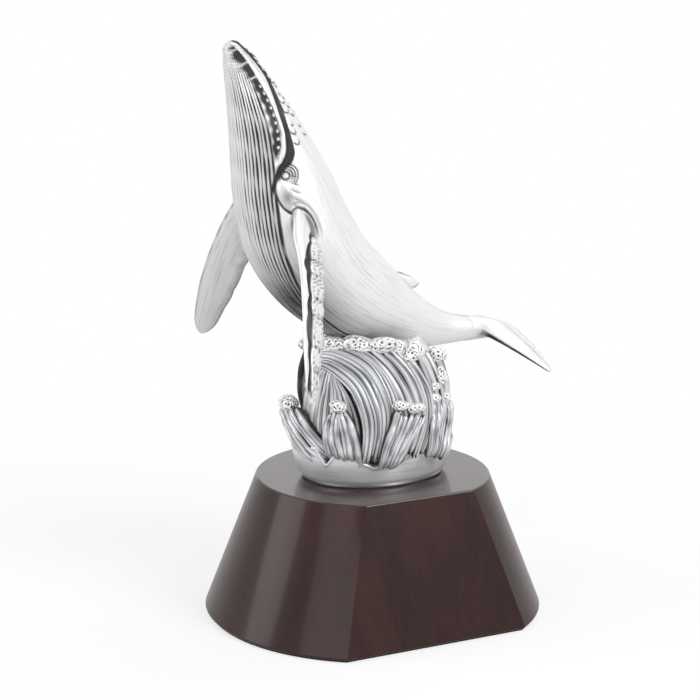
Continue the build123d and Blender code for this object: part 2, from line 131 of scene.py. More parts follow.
def tableCurve(rows, at):
    knots = [row[0] for row in rows]
    return curveThrough(knots, [row[1] for row in rows], np.clip(at, knots[0], knots[-1]))


# a ball whose poles become the ends of a piece: place(share, turn) gives points, patina with painted shade,
# and flow
def shapedBall(name, around, along, place):
    clearSelection()
    bpy.ops.mesh.primitive_uv_sphere_add(segments=around, ring_count=along, radius=1.0)
    piece = bpy.context.object
    piece.name = name
    mesh = piece.data
    mesh.name = name
    flat = np.empty(len(mesh.vertices) * 3)
    mesh.vertices.foreach_get("co", flat)
    ball = flat.reshape(-1, 3)
    share = np.round(np.arccos(np.clip(ball[:, 2], -1, 1)) / math.pi * along) / along
    column = np.round(np.arctan2(ball[:, 1], ball[:, 0]) / (2 * math.pi) * around) % around
    points, patinaAndShade, flow = place(share, column * (2 * math.pi / around))
    mesh.vertices.foreach_set("co", (points * mm).ravel())
    mesh.attributes.new("patinaAndShade", "FLOAT", "POINT")
    mesh.attributes["patinaAndShade"].data.foreach_set("value", np.clip(patinaAndShade, 0, 1).astype(np.float32))
    mesh.attributes.new("flow", "FLOAT_VECTOR", "POINT")
    lines = np.zeros((len(share), 3), np.float32)
    lines[:, 0] = flow[0]
    lines[:, 1] = flow[1]
    mesh.attributes["flow"].data.foreach_set("vector", lines.ravel())
    mesh.update()
    return piece


# joins loose shapes, turns their faces outward, gives them material, hangs them on the root body and hides
# the frame nodes they stand in for
def finished(name, shapes, material, slot, *nodes):
    clearSelection()
    for shape in shapes:
        shape.select_set(True)
    bpy.context.view_layer.objects.active = shapes[0]
    if len(shapes) > 1:
        bpy.ops.object.join()
    piece = bpy.context.object
    piece.name = name
    piece.data.name = name
    bpy.ops.object.mode_set(mode="EDIT")
    bpy.ops.mesh.select_all(action="SELECT")
    bpy.ops.mesh.normals_make_consistent(inside=False)
    bpy.ops.object.mode_set(mode="OBJECT")
    bpy.ops.object.shade_smooth()
    piece.data.materials.append(material)
    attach(piece, "root")
    if nodes:
        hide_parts(*nodes)
    print(name, len(piece.data.polygons), "faces")


# shader maths on one wrapped socket
class Wire:
    def __init__(self, tree, socket=None):
        self.tree = tree
        self.socket = socket

    def node(self, kind, settings=None, inputs=None, out=0):
        made = self.tree.nodes.new(kind)
        for key, value in (settings or {}).items():
            setattr(made, key, value)
        for key, value in (inputs or {}).items():
            if isinstance(value, Wire):
                self.tree.links.new(value.socket, made.inputs[key])
            else:
                made.inputs[key].default_value = value
        return Wire(self.tree, made.outputs[out] if len(made.outputs) else None)

    def sum(self, kind, first, second):
        return self.node("ShaderNodeMath", {"operation": kind}, {0: first, 1: second})

    def __add__(self, other):
        return self.sum("ADD", self, other)

    def __radd__(self, other):
        return self.sum("ADD", other, self)

    def __sub__(self, other):
        return self.sum("SUBTRACT", self, other)

    def __rsub__(self, other):
        return self.sum("SUBTRACT", other, self)

    def __mul__(self, other):
        return self.sum("MULTIPLY", self, other)

    def __rmul__(self, other):
        return self.sum("MULTIPLY", other, self)

    def clamped(self):
        return self.node("ShaderNodeClamp", None, {"Value": self})

    def between(self, low, high):
        return self.node("ShaderNodeMapRange", None, {"Value": self, "From Min": low, "From Max": high})

    def noise(self, scale, detail, distortion=0.0):
        inputs = {"Vector": self, "Scale": scale, "Detail": detail, "Distortion": distortion}
        return self.node("ShaderNodeTexNoise", None, inputs)

    def stretched(self, scale, turn=(0.0, 0.0, 0.0)):
        return self.node("ShaderNodeMapping", None, {"Vector": self, "Rotation": turn, "Scale": scale})

    # sockets 6, 7 and result 2 of a Mix node are its colours
    def mixed(self, first, second):
        inputs = {0: self, 6: (*first, 1.0), 7: (*second, 1.0)}
        return self.node("ShaderNodeMix", {"data_type": "RGBA"}, inputs, out=2)

    def bumped(self, strength, distance):
        return self.node("ShaderNodeBump", None, {"Strength": strength, "Distance": distance, "Height": self})


def newMaterial(name):
    material = bpy.data.materials.new(name)
    material.use_nodes = True
    material.node_tree.nodes.clear()
    return material, Wire(material.node_tree)


def objectPlace(start):
    return start.node("ShaderNodeTexCoord", out="Object")


def surface(start, inputs):
    shader = start.node("ShaderNodeBsdfPrincipled", None, inputs)
    start.node("ShaderNodeOutputMaterial", None, {"Surface": shader})


# antique silver: rubbed bright on what stands out, black patina left in the recesses; the same black also
# paints shade where a piece carries it
silverLook = {
    "black": (0.010, 0.010, 0.011), "metallic": 0.38, "worn": 0.8, "roughness": 0.33,
    "streakScale": (0.05, 0.9, 1.0), "streakDetail": 3.0, "streakRange": (0.5, 0.8),
    "speckScale": 1400.0, "speckDetail": 3.0, "blotchScale": 60.0, "blotchDetail": 4.0,
    "stainLeast": 0.72, "stainSpread": 0.56, "streakLeast": 0.3, "streakSpread": 0.7,
    "streakRough": 0.16, "speckRough": 0.10, "stainRough": 0.35,
    "speckRelief": 0.5, "streakRelief": 0.8, "bumpStrength": 0.22, "bumpDepth": 0.00016,
}


def silverMaterial(name, bright, streaks):
    look = silverLook
    material, start = newMaterial(name)
    place = objectPlace(start)
    flow = start.node("ShaderNodeAttribute", {"attribute_name": "flow"}, out="Vector")
    patinaAndShade = start.node("ShaderNodeAttribute", {"attribute_name": "patinaAndShade"}, out="Fac")
    streak = flow.stretched(look["streakScale"]).noise(1.0, look["streakDetail"])
    speck = place.noise(look["speckScale"], look["speckDetail"])
    blotch = place.noise(look["blotchScale"], look["blotchDetail"])
    # stain is the piece's patina together with its painted shade, varied in blotches
    stain = patinaAndShade * (look["stainLeast"] + look["stainSpread"] * blotch)
    lines = streaks * streak.between(*look["streakRange"])
    dark = (stain + lines * (look["streakLeast"] + look["streakSpread"] * blotch)).clamped()
    relief = speck * look["speckRelief"] + streak * look["streakRelief"]
    rough = look["roughness"] + look["streakRough"] * (streak - noiseMiddle)
    rough = rough + look["speckRough"] * (speck - noiseMiddle) + look["stainRough"] * dark
    surface(start, {
        "Base Color": dark.mixed(bright, look["black"]), "Roughness": rough,
        "Metallic": look["metallic"] * (1 - look["worn"] * dark),
        "Normal": relief.bumped(look["bumpStrength"], look["bumpDepth"]),
    })
    return material


# stained mahogany under a thin satin lacquer, polished on top
woodLook = {
    "dark": (0.015, 0.0034, 0.0029), "warm": (0.040, 0.0092, 0.0075), "roughness": 0.32, "baseIor": 1.24,
    "figureStretch": (1.0, 1.0, 0.14), "figureTurn": (0.25, 0.1, 0.4), "figureScale": 24.0,
    "figureDetail": 6.0, "figureTwist": 1.4, "figureRange": (0.32, 0.7), "figureShare": 0.78,
    "figureRough": 0.06, "poreScale": 380.0, "poreDetail": 2.0, "poreRange": (0.42, 0.74), "poreShare": 0.22,
    "poreRough": 0.10, "poreBump": 0.05, "poreDepth": 0.0002, "coatIor": 1.6, "coatRoughness": 0.12,
    "sideCoat": 0.18, "topCoat": 0.9, "polishFrom": (0.0610, 0.0616),
}


def woodMaterial():
    look = woodLook
    material, start = newMaterial("mahoganyLacquer")
    place = objectPlace(start)
    grain = place.stretched(look["figureStretch"], look["figureTurn"])
    figure = grain.noise(look["figureScale"], look["figureDetail"], look["figureTwist"])
    pores = grain.noise(look["poreScale"], look["poreDetail"])
    tone = figure.between(*look["figureRange"]) * look["figureShare"]
    tone = (tone + pores.between(*look["poreRange"]) * look["poreShare"]).clamped()
    height = start.node("ShaderNodeSeparateXYZ", None, {0: place}, out="Z")
    polished = height.between(*look["polishFrom"])
    rough = look["roughness"] + look["poreRough"] * (pores - noiseMiddle)
    surface(start, {
        "Base Color": tone.mixed(look["dark"], look["warm"]), "IOR": look["baseIor"],
        "Roughness": rough + look["figureRough"] * (figure - noiseMiddle),
        "Normal": pores.bumped(look["poreBump"], look["poreDepth"]),
        "Coat IOR": look["coatIor"], "Coat Roughness": look["coatRoughness"],
        "Coat Weight": look["sideCoat"] + (look["topCoat"] - look["sideCoat"]) * polished,
    })
    return material


# felt and turned metal, speckled between two tones
speckLook = {"detail": 4.0, "range": (0.3, 0.7), "rough": 0.15, "bump": 0.2, "depth": 0.0003}


def speckledMaterial(name, low, high, scale, metallic, roughness):
    look = speckLook
    material, start = newMaterial(name)
    speck = objectPlace(start).noise(scale, look["detail"])
    surface(start, {
        "Base Color": speck.between(*look["range"]).mixed(low, high), "Metallic": metallic,
        "Roughness": roughness + look["rough"] * (speck - noiseMiddle),
        "Normal": speck.bumped(look["bump"], look["depth"]),
    })
    return material


silverWhale = silverMaterial("silverWhale", (0.78, 0.78, 0.775), 0.50)
silverWave = silverMaterial("silverWave", (0.68, 0.69, 0.71), 0.40)
silverFoam = silverMaterial("silverFoam", (0.74, 0.74, 0.74), 0.15)
mahogany = woodMaterial()
felt = speckledMaterial("blackFelt", (0.008, 0.008, 0.008), (0.03, 0.03, 0.03), 1800.0, 0.0, 0.9)
zincSteel = speckledMaterial("zincSteel", (0.42, 0.42, 0.43), (0.6, 0.6, 0.61), 900.0, 1.0, 0.35)
turnedBrass = speckledMaterial("turnedBrass", (0.6, 0.42, 0.16), (0.78, 0.6, 0.28), 900.0, 1.0, 0.3)
print("materials ready")

# whale body on its spine, placed by share of its length and angle from the belly line
plinthTop = 61.7
whale = {
    "reach": 116.6, "rise": 131.2, "depth": 47.6, "tailX": 50.0, "tailHeight": 60.13,
    "alongShares": (0.0, 0.034, 0.096, 0.154, 0.207, 0.268, 0.37, 0.521, 0.713, 0.863, 1.0),
    "riseShares": (1.0, 0.939, 0.806, 0.662, 0.514, 0.368, 0.242, 0.138, 0.049, 0.011, 0.0),
    "depthShares": (0.12, 0.27, 0.5, 0.727, 0.916, 1.0, 0.962, 0.84, 0.542, 0.319, 0.21),
    "widthShares": (1.15, 1.1, 1.05, 1.02, 1.0, 1.0, 1.0, 0.97, 0.86, 0.78, 0.9),
    "around": 400, "rings": 240, "ringKnots": (0.0, 0.03, 0.66, 1.0), "ringShares": (0.0, 0.012, 0.45, 1.0),
    "tipShare": 0.014, "shareStep": 0.004, "leastGirth": 2.0, "flipperRoot": (0.41, 77.0),
    "waviness": 0.015, "waves": ((0.9, 0.11), (-0.37, 0.23)), "carveRise": (0.0, 0.02), "flowStep": 0.4,
    "slimming": 1.4, "slimShares": (0.0, 0.05, 0.2, 0.3), "slimAngles": (96, 110),
}
spineX = np.array([whale["tailX"] - whale["reach"] * (1 - share) for share in whale["alongShares"]])
spineZ = np.array([plinthTop + whale["tailHeight"] + whale["rise"] * share for share in whale["riseShares"]])
spineRun = np.concatenate([[0.0], np.cumsum(np.hypot(np.diff(spineX), np.diff(spineZ)))])
spineLength = spineRun[-1]
spineKnots = spineRun / spineLength


def spinePoint(share):
    x = curveThrough(spineKnots, spineX, share)
    return np.stack([x, np.zeros_like(x), curveThrough(spineKnots, spineZ, share)], -1)


def spineAt(share):
    step = whale["shareStep"]
    tailward = unit(spinePoint(np.clip(share + step, 0, 1)) - spinePoint(np.clip(share - step, 0, 1)))
    dorsal = np.stack([-tailward[:, 2], np.zeros_like(share), tailward[:, 0]], -1)
    return spinePoint(share), dorsal, tailward


def bodyPoint(share, angle, side, lift):
    centre, dorsal, _ = spineAt(share)
    halfDepth = whale["depth"] / 2 * curveThrough(spineKnots, whale["depthShares"], share)
    halfWidth = halfDepth * curveThrough(spineKnots, whale["widthShares"], share)
    rounding = roundEnd(share, whale["tipShare"]) * roundEnd(1 - share, whale["tipShare"])
    turn = np.radians(angle)
    points = centre - scaled(dorsal, np.cos(turn) * (halfDepth + lift) * rounding)
    points[:, 1] -= np.sin(turn) * (halfWidth + lift) * rounding * side
    return points, halfDepth


# millimetres along and round the body from a place on its skin
def fromSpot(spot, share, angle, arc):
    return (share - spot[0]) * spineLength, (angle - spot[1]) * arc


# each carving below adds to height in millimetres and to the dark of patina and painted shade; here the
# throat pleats
pleats = {
    "count": 12, "columns": 0.48, "depth": 0.6, "crown": 0.14, "past": 0.3,
    "end": ((0.0, 96), (0.06, 84), (0.12, 79), (0.185, 75), (0.235, 69), (0.33, 59), (0.42, 52),
            (0.6, 38), (0.7, 32), (1.0, 30)),
    "shares": (0.03, 0.10, 0.60, 0.73), "width": 0.16, "widen": (0.05, 18, 55),
    "wander": (0.07, 0.5, 1.5), "wanderWaves": ((0.13, 2.1),),
    "breakLeast": 0.82, "breakSwing": 0.5, "breakWaves": ((0.37, 1.7), (0.11, 4.3)),
    "shade": 0.5, "shadeGain": (0.9, 4, 36), "haze": (0.30, 16, 58), "hazeShares": (0.10, 0.2, 0.45, 0.6),
}


def carvePleats(height, dark, share, angle, along, column):
    s = pleats
    count = column / s["columns"] * s["count"]
    lane = count + sway(along, np.floor(count), s["wanderWaves"]) * rise(s["wander"], count)
    offset = np.abs(lane - np.round(lane))
    live = window(s["shares"], share) * (count < s["count"] + s["past"])
    breaks = s["breakLeast"] + s["breakSwing"] * sway(along, np.round(count), s["breakWaves"])
    groove = bell(offset, s["width"] + rise(s["widen"], angle) * breaks) * live
    height += s["crown"] * np.cos(2 * math.pi * lane) * live - s["depth"] * groove
    shade = groove * (s["shade"] + rise(s["shadeGain"], angle)) * breaks
    haze = rise(s["haze"], angle) * window(s["hazeShares"], share)
    return height, np.maximum(dark, shade + haze * live)


# mouth line, pale lip above the beaded dark band
mouth = {
    "line": ((0.0, 140), (0.03, 152), (0.088, 150), (0.13, 132), (0.16, 121), (0.19, 111), (0.23, 101),
             (0.255, 94), (0.27, 85), (0.285, 73), (0.318, 58), (0.36, 52)),
    "half": 1.35, "depth": 1.2, "stain": 1.3, "edge": (0.75, 1.4), "end": (0.31, 0.345),
    "narrow": (0.5, 0.26, 0.32), "widen": (0.35, 0.12, 0.2),
    "lip": ((0.0, 103), (0.05, 111), (0.095, 113), (0.155, 108), (0.208, 98), (0.255, 81), (0.28, 70)),
    "lipHeight": 0.7, "lipWidth": 1.25, "lipEnd": (0.25, 0.285), "lipClear": (0.92, 0.2, 0.6),
    "band": ((0.0, 80), (0.033, 86), (0.065, 91), (0.098, 93), (0.143, 93), (0.185, 89), (0.223, 81),
             (0.26, 71)),
    "bandHalf": 2.1, "bandDepth": 0.5, "bandStain": 1.35, "bandShares": (0.004, 0.014, 0.235, 0.27),
    "bandWiden": (0.25, 0.04, 0.12), "bandWaves": ((0.2, 1.3, 0),),
    "blockStep": 6.4, "blockGap": 0.6, "blockClear": (0.8, 0.09, 0.13), "beadStep": 3.1, "beadSide": 0.6,
    "beadRadius": 0.72, "beadRise": (0.07, 0.11), "beadHeight": 0.9, "beadClear": (0.9, 0.25, 0.7),
}


def carveMouth(height, dark, share, angle, along, arc, girth):
    s = mouth
    across = (angle - tableCurve(s["band"], share)) * arc
    live = window(s["bandShares"], share)
    half = s["bandHalf"] * (1 + fall(s["bandWiden"], share)) * (1 + waves(s["bandWaves"], along))
    band = bell(across, half) * live
    height -= s["bandDepth"] * band
    gaps = bell(along % s["blockStep"] - s["blockStep"] / 2, s["blockGap"])
    dark = np.maximum(dark, s["bandStain"] * band * (1 - gaps * fall(s["blockClear"], share)))
    spot = np.hypot(along % s["beadStep"] - s["beadStep"] / 2, across - s["beadSide"])
    bead = bell(spot, s["beadRadius"]) * live * smooth(*s["beadRise"], share)
    height += s["beadHeight"] * bead
    dark *= 1 - rise(s["beadClear"], bead)
    lip = bell((angle - tableCurve(s["lip"], share)) * arc, s["lipWidth"]) * fading(*s["lipEnd"], share)
    height += s["lipHeight"] * lip
    dark *= 1 - rise(s["lipClear"], lip)
    lineAt = tableCurve(s["line"], share)
    step = whale["shareStep"]
    slope = np.radians(tableCurve(s["line"], share + step) - lineAt) * girth / (step * spineLength)
    gap = np.abs(angle - lineAt) * arc / np.hypot(1.0, slope)
    half = s["half"] * (1 - rise(s["narrow"], share)) * (1 + rise(s["widen"], share))
    end = fading(*s["end"], share)
    height -= s["depth"] * bell(gap, half) * end
    inner, outer = s["edge"]
    return height, np.maximum(dark, s["stain"] * fading(half * inner, half * outer, gap) * end)


# eye with its brow folds
eye = {
    "at": (0.297, 77.0), "stretch": 1.15, "ball": (0.75, 0.0, 1.0), "lid": (0.5, 1.75, 0.5),
    "lidStain": (1.1, 1.75, 0.5), "room": (2.4, 3.4), "brows": (3.0, 4.2, 5.4), "browSlope": 0.55,
    "browEdge": (-1.0, 1.5), "browEnd": (6.0, 7.0), "browFold": (0.25, 0.6, 0.4),
    "browGroove": (0.4, 0.0, 0.35), "browStain": (1.0, 0.0, 0.38),
}


def carveEye(height, dark, share, angle, arc):
    s = eye
    ex, ey = fromSpot(s["at"], share, angle, arc)
    run = np.hypot(ex * s["stretch"], ey)
    height += hump(s["ball"], run) - hump(s["lid"], run)
    dark = np.maximum(dark, hump(s["lidStain"], run))
    brow = smooth(*s["browEdge"], ey - s["browSlope"] * ex) * fading(*s["browEnd"], run)
    for ring in s["brows"]:
        height += (hump(s["browFold"], run - ring) - hump(s["browGroove"], run - ring)) * brow
        dark = np.maximum(dark, hump(s["browStain"], run - ring) * brow)
    return height, dark, smooth(*s["room"], run)


# cheek behind the eye, with its creases and a patch of painted shade
cheek = {
    "at": (0.335, 70.0), "length": 7.2, "width": 3.3, "slope": 0.12, "height": (0.5, 0.5, 1.1),
    "rim": (1.0, 1.1, 0.15), "rimEnd": (-0.5, 2.5), "rimDepth": 0.5, "rimStain": 1.2,
    "clear": (0.9, 0.75, 1.0), "paintedShade": (0.62, 0.0, 3.4), "paintedShadeAt": 1.0, "paintedShadeStretch": 1.2,
    "creases": 6, "creaseFrom": (-6.0, 5.4), "creaseStep": (3.0, -0.5), "creaseSlope": 0.75,
    "creaseWidth": 0.42, "creaseLength": 2.3, "creaseDepth": 0.35, "creaseStain": 0.8,
}


def carveCheek(height, dark, share, angle, arc, clearOfEye):
    s = cheek
    cx, cy = fromSpot(s["at"], share, angle, arc)
    lens = np.hypot(cx / s["length"], (cy - s["slope"] * cx) / s["width"])
    rim = hump(s["rim"], lens) * fading(*s["rimEnd"], cy)
    height += fall(s["height"], lens) - s["rimDepth"] * rim
    dark = np.maximum(dark * (1 - fall(s["clear"], lens) * clearOfEye), s["rimStain"] * rim)
    # painted shade: a soft dark patch on the cheek, kept off the eye
    spot = np.hypot(cx - s["paintedShadeAt"], (cy - s["paintedShadeAt"]) * s["paintedShadeStretch"])
    dark = np.maximum(dark, hump(s["paintedShade"], spot) * clearOfEye)
    for k in range(s["creases"]):
        kx = cx - s["creaseFrom"][0] - s["creaseStep"][0] * k
        ky = cy - s["creaseFrom"][1] - s["creaseStep"][1] * k
        crease = bell(kx - s["creaseSlope"] * ky, s["creaseWidth"]) * bell(ky, s["creaseLength"])
        height -= s["creaseDepth"] * crease
        dark = np.maximum(dark, s["creaseStain"] * crease)
    return height, dark


# folds on the head side of the flipper's root, and the shadow behind it
shoulder = {
    "shift": 1.5, "length": 9.0, "width": 5.6, "headEdge": (-3.0, 7.0), "headSlope": 0.8,
    "sideEdge": (-5.0, 0.0), "folds": ((0.85, 1.0, 0.09), (0.4, 1.28, 0.09)), "foldStain": 1.4,
    "seat": (0.8, 0.7, 1.05), "shadow": (0.42, 0.0, 17.0), "shadowAt": (24, -20), "shadowStretch": 1.2,
}


def carveShoulder(height, dark, share, angle, arc):
    s = shoulder
    fx, fy = fromSpot(whale["flipperRoot"], share, angle, arc)
    run = np.hypot((fx - s["shift"]) / s["length"], fy / s["width"])
    headSide = fading(*s["headEdge"], fx - s["headSlope"] * fy) * smooth(*s["sideEdge"], fy)
    for fold in s["folds"]:
        line = hump(fold, run) * headSide
        height -= line
        dark = np.maximum(dark, s["foldStain"] * line)
    dark = np.maximum(dark, fall(s["seat"], run))
    spot = np.hypot(fx - s["shadowAt"][0], (fy - s["shadowAt"][1]) * s["shadowStretch"])
    return height, np.maximum(dark, hump(s["shadow"], spot))


# knobs on the snout: each row has its share of the way from mouth to crown, 0 for the crown, and its start
knobs = {
    "rows": ((0.0, 0.03), (0.45, 0.042), (0.16, 0.05)), "last": 0.245, "step": 0.0215, "above": 4.0,
    "jitterRates": (977, 61), "sideRate": 613, "jitterRun": 0.9, "jitterSide": 0.8, "size": 0.8,
    "spread": 0.25, "height": 0.8, "stain": 0.95, "ringAt": 1.45, "ringWidth": 0.42, "ringShadowSide": (-0.9, 0.6),
}


def carveKnobs(height, dark, share, angle, arc):
    s = knobs
    for row, first in s["rows"]:
        for at in np.arange(first, s["last"], s["step"]):
            lineAt = float(tableCurve(mouth["line"], np.array([at]))[0])
            middle = 180.0 if row == 0 else lineAt + (180.0 - lineAt) * row + s["above"]
            jitter = math.sin(at * s["jitterRates"][0] + row * s["jitterRates"][1])
            run, side = fromSpot((at, middle), share, angle, arc)
            run = run + s["jitterRun"] * jitter
            spot = np.hypot(run, side - s["jitterSide"] * math.sin(at * s["sideRate"]))
            size = s["size"] + s["spread"] * jitter
            height += s["height"] * size * bell(spot, size)
            # dark ring round each knob's foot: patina in the hollow, kept to one side of the knob as a
            # painted shadow
            ring = bell(spot - s["ringAt"] * size, s["ringWidth"])
            dark = np.maximum(dark, s["stain"] * ring * smooth(*s["ringShadowSide"], run))
    return height, dark


# more patina along the back, darker speckles towards the snout tip, and painted shade under the tail and low
# on the flank
wearAndShade = {
    "back": (0.42, 156, 177), "backShares": (0.22, 0.34), "under": (0.30, 4, 22), "underShares": (0.72, 0.8),
    "snout": (0.5, 0.02, 0.11), "snoutSpeckWaves": ((2.9, 0.31), (-1.7, 0.47)), "snoutSpeckEdge": (0.1, 0.7),
    "flank": (0.46, 38, 96), "flankShares": (0.44, 0.56, 0.74, 0.86),
}


def shadedAndWornBody(dark, share, angle, along):
    s = wearAndShade
    dark = np.maximum(dark, rise(s["back"], angle) * smooth(*s["backShares"], share))
    dark += fall(s["snout"], share) * smooth(*s["snoutSpeckEdge"], sway(along, angle, s["snoutSpeckWaves"]))
    # painted shade under the tail stock and low on the flank
    dark = np.maximum(dark, fall(s["under"], angle) * smooth(*s["underShares"], share))
    return dark + fall(s["flank"], angle) * window(s["flankShares"], share)


def bodyPlace(share, turn):
    s = whale
    near = turn <= math.pi
    side = np.where(near, 1.0, -1.0)
    column = np.where(near, turn, 2 * math.pi - turn) / math.pi
    at = np.interp(share, s["ringKnots"], s["ringShares"])
    end = tableCurve(pleats["end"], at)
    split = pleats["columns"]
    angle = np.where(column < split, end * column / split, end + (180 - end) * (column - split) / (1 - split))
    _, girth = bodyPoint(at, angle, side, 0.0)
    arc = np.radians(1.0) * np.maximum(girth, s["leastGirth"])
    along = at * spineLength
    height = s["waviness"] * sway(along, angle, s["waves"])
    height, dark = carvePleats(height, np.zeros_like(at), at, angle, along, column)
    height, dark = carveMouth(height, dark, at, angle, along, arc, girth)
    height, dark, clearOfEye = carveEye(height, dark, at, angle, arc)
    height, dark = carveCheek(height, dark, at, angle, arc, clearOfEye)
    height, dark = carveShoulder(height, dark, at, angle, arc)
    height, dark = carveKnobs(height, dark, at, angle, arc)
    slim = s["slimming"] * window(s["slimShares"], at) * smooth(*s["slimAngles"], angle)
    slim = slim * (180 - angle) / (180 - s["slimAngles"][0])
    points, _ = bodyPoint(at, angle, side, height * smooth(*s["carveRise"], at) - slim)
    return points, shadedAndWornBody(dark, at, angle, along), (along, angle * s["flowStep"])


whaleBody = shapedBall("whaleBody", whale["around"], whale["rings"], bodyPlace)
finished("whaleBody", [whaleBody], silverWhale, "antique_silver_whale", "whale_body")

# dorsal fin: a low hook that points to the tail
fin = {
    "share": 0.771, "length": 14.0, "height": 4.6, "thickness": 3.2, "rake": 7.5, "hook": 1.3,
    "around": 72, "rings": 48, "foot": -0.35, "topShare": 0.06,
    "levels": (-0.35, 0.0, 0.4, 0.8, 1.0), "lengthShares": (1.0, 0.95, 0.8, 0.48, 0.12),
    "thickShares": (1.15, 0.9, 0.62, 0.36, 0.1),
    "seam": (0.3, 0.0, 0.1), "rim": (0.75, 0.05, 0.3), "frontRim": (0.6, 0.95), "backRim": (0.75, 0.97),
}


def finPlace(share, turn):
    s = fin
    level = (1 - s["foot"]) * (1 - share) + s["foot"]
    closed = roundEnd(share, s["topShare"]) * (share < 1)
    length = s["length"] / 2 * np.interp(level, s["levels"], s["lengthShares"]) * closed
    thick = s["thickness"] / 2 * np.interp(level, s["levels"], s["thickShares"]) * closed
    lean = s["rake"] * np.maximum(level, 0) ** s["hook"]
    at = s["share"] + (lean + np.cos(turn) * length) / spineLength
    points, _ = bodyPoint(at, np.full_like(at, 180.0), 1.0, level * s["height"])
    points[:, 1] += np.sin(turn) * thick
    rim = smooth(*s["frontRim"], -np.cos(turn)) + smooth(*s["backRim"], np.cos(turn))
    return points, hump(s["seam"], level) + rim * rise(s["rim"], level), (level, lean)


dorsalFin = shapedBall("dorsalFin", fin["around"], fin["rings"], finPlace)
finished("dorsalFin", [dorsalFin], silverWhale, "antique_silver_whale")

# flippers: a blade that leaves the body square to the skin and bends down, one edge knobbed
flipper = {
    "length": 76.0, "thickness": 5.2, "shoulder": 10.0, "inside": 2.0, "turnShare": 0.3,
    "around": 144, "rings": 220, "tipShare": 0.06, "rootShare": 0.02, "flowStep": 8,
    "chordShares": (1.05, 1.1, 1.0, 0.95, 0.92, 0.8, 0.42),
    "thicknessShares": (1.3, 1.1, 0.9, 0.75, 0.6, 0.45, 0.25), "fullness": 0.8,
    "knobs": 9, "knobWaves": ((0.35, 31, 0),), "knobRise": (0.12, 0.3), "knobTaper": 0.6,
    "knobEdge": (0.35, 0.9), "knobSwell": 0.3, "knobStain": (0.4, 0.0, 0.25),
    "lineShares": (0.1, 0.36), "lineWave": 0.10, "lineLeast": 0.85, "lineWaves": ((0.3, 19, 0.8),),
    "lineEdge": (0.55, 1.25), "lineEnds": (0.04, 0.10, 0.93, 1.0), "lineSide": -0.2, "lineDepth": 0.8,
    "lineStainAndShade": 1.3,
    "crumbs": ((1.0, ((131, 5, 2, 37), (0, 8, 3, 53))), (0.6, ((227, -7, 0, 0), (83, 13, 0, 0)))),
    "crumbEdge": (0.18, 0.4), "crumbRise": (0.08, 0.2), "crumbHeight": 0.22, "crumbStain": (0.55, 0.25, 0.7),
    "rimEdge": (0.88, 0.99), "rimLeast": 0.7, "rimWaves": ((0.3, 43, 0),),
    "left": {
        "side": 1, "chord": 15.5, "bow": 12.0, "span": (-0.18, -0.47, -0.87), "across": (0.80, 0.60, 0.0),
        "groove": 1.0, "lineAt": (0.25, -0.45), "lineHalf": 1.9, "knobHeight": 1.5, "rim": 0.15,
    },
    "right": {
        "side": -1, "chord": 18.5, "bow": -3.0, "span": (-0.12, -0.57, -0.81), "across": (0.87, 0.49, 0.0),
        "groove": 0.16, "lineAt": (0.62, 0.62), "lineHalf": 0.7, "knobHeight": 0.8, "rim": 0.6,
    },
}


# crumbled skin: each wave has its rate along, its slant across, and a warp with a rate of its own
def crumbled(share, x):
    total = 0.0
    for grain, waves in flipper["crumbs"]:
        for rate, slant, warp, warpRate in waves:
            grain = grain * np.sin(share * rate + slant * x + warp * np.sin(share * warpRate))
        total = total + grain
    return total


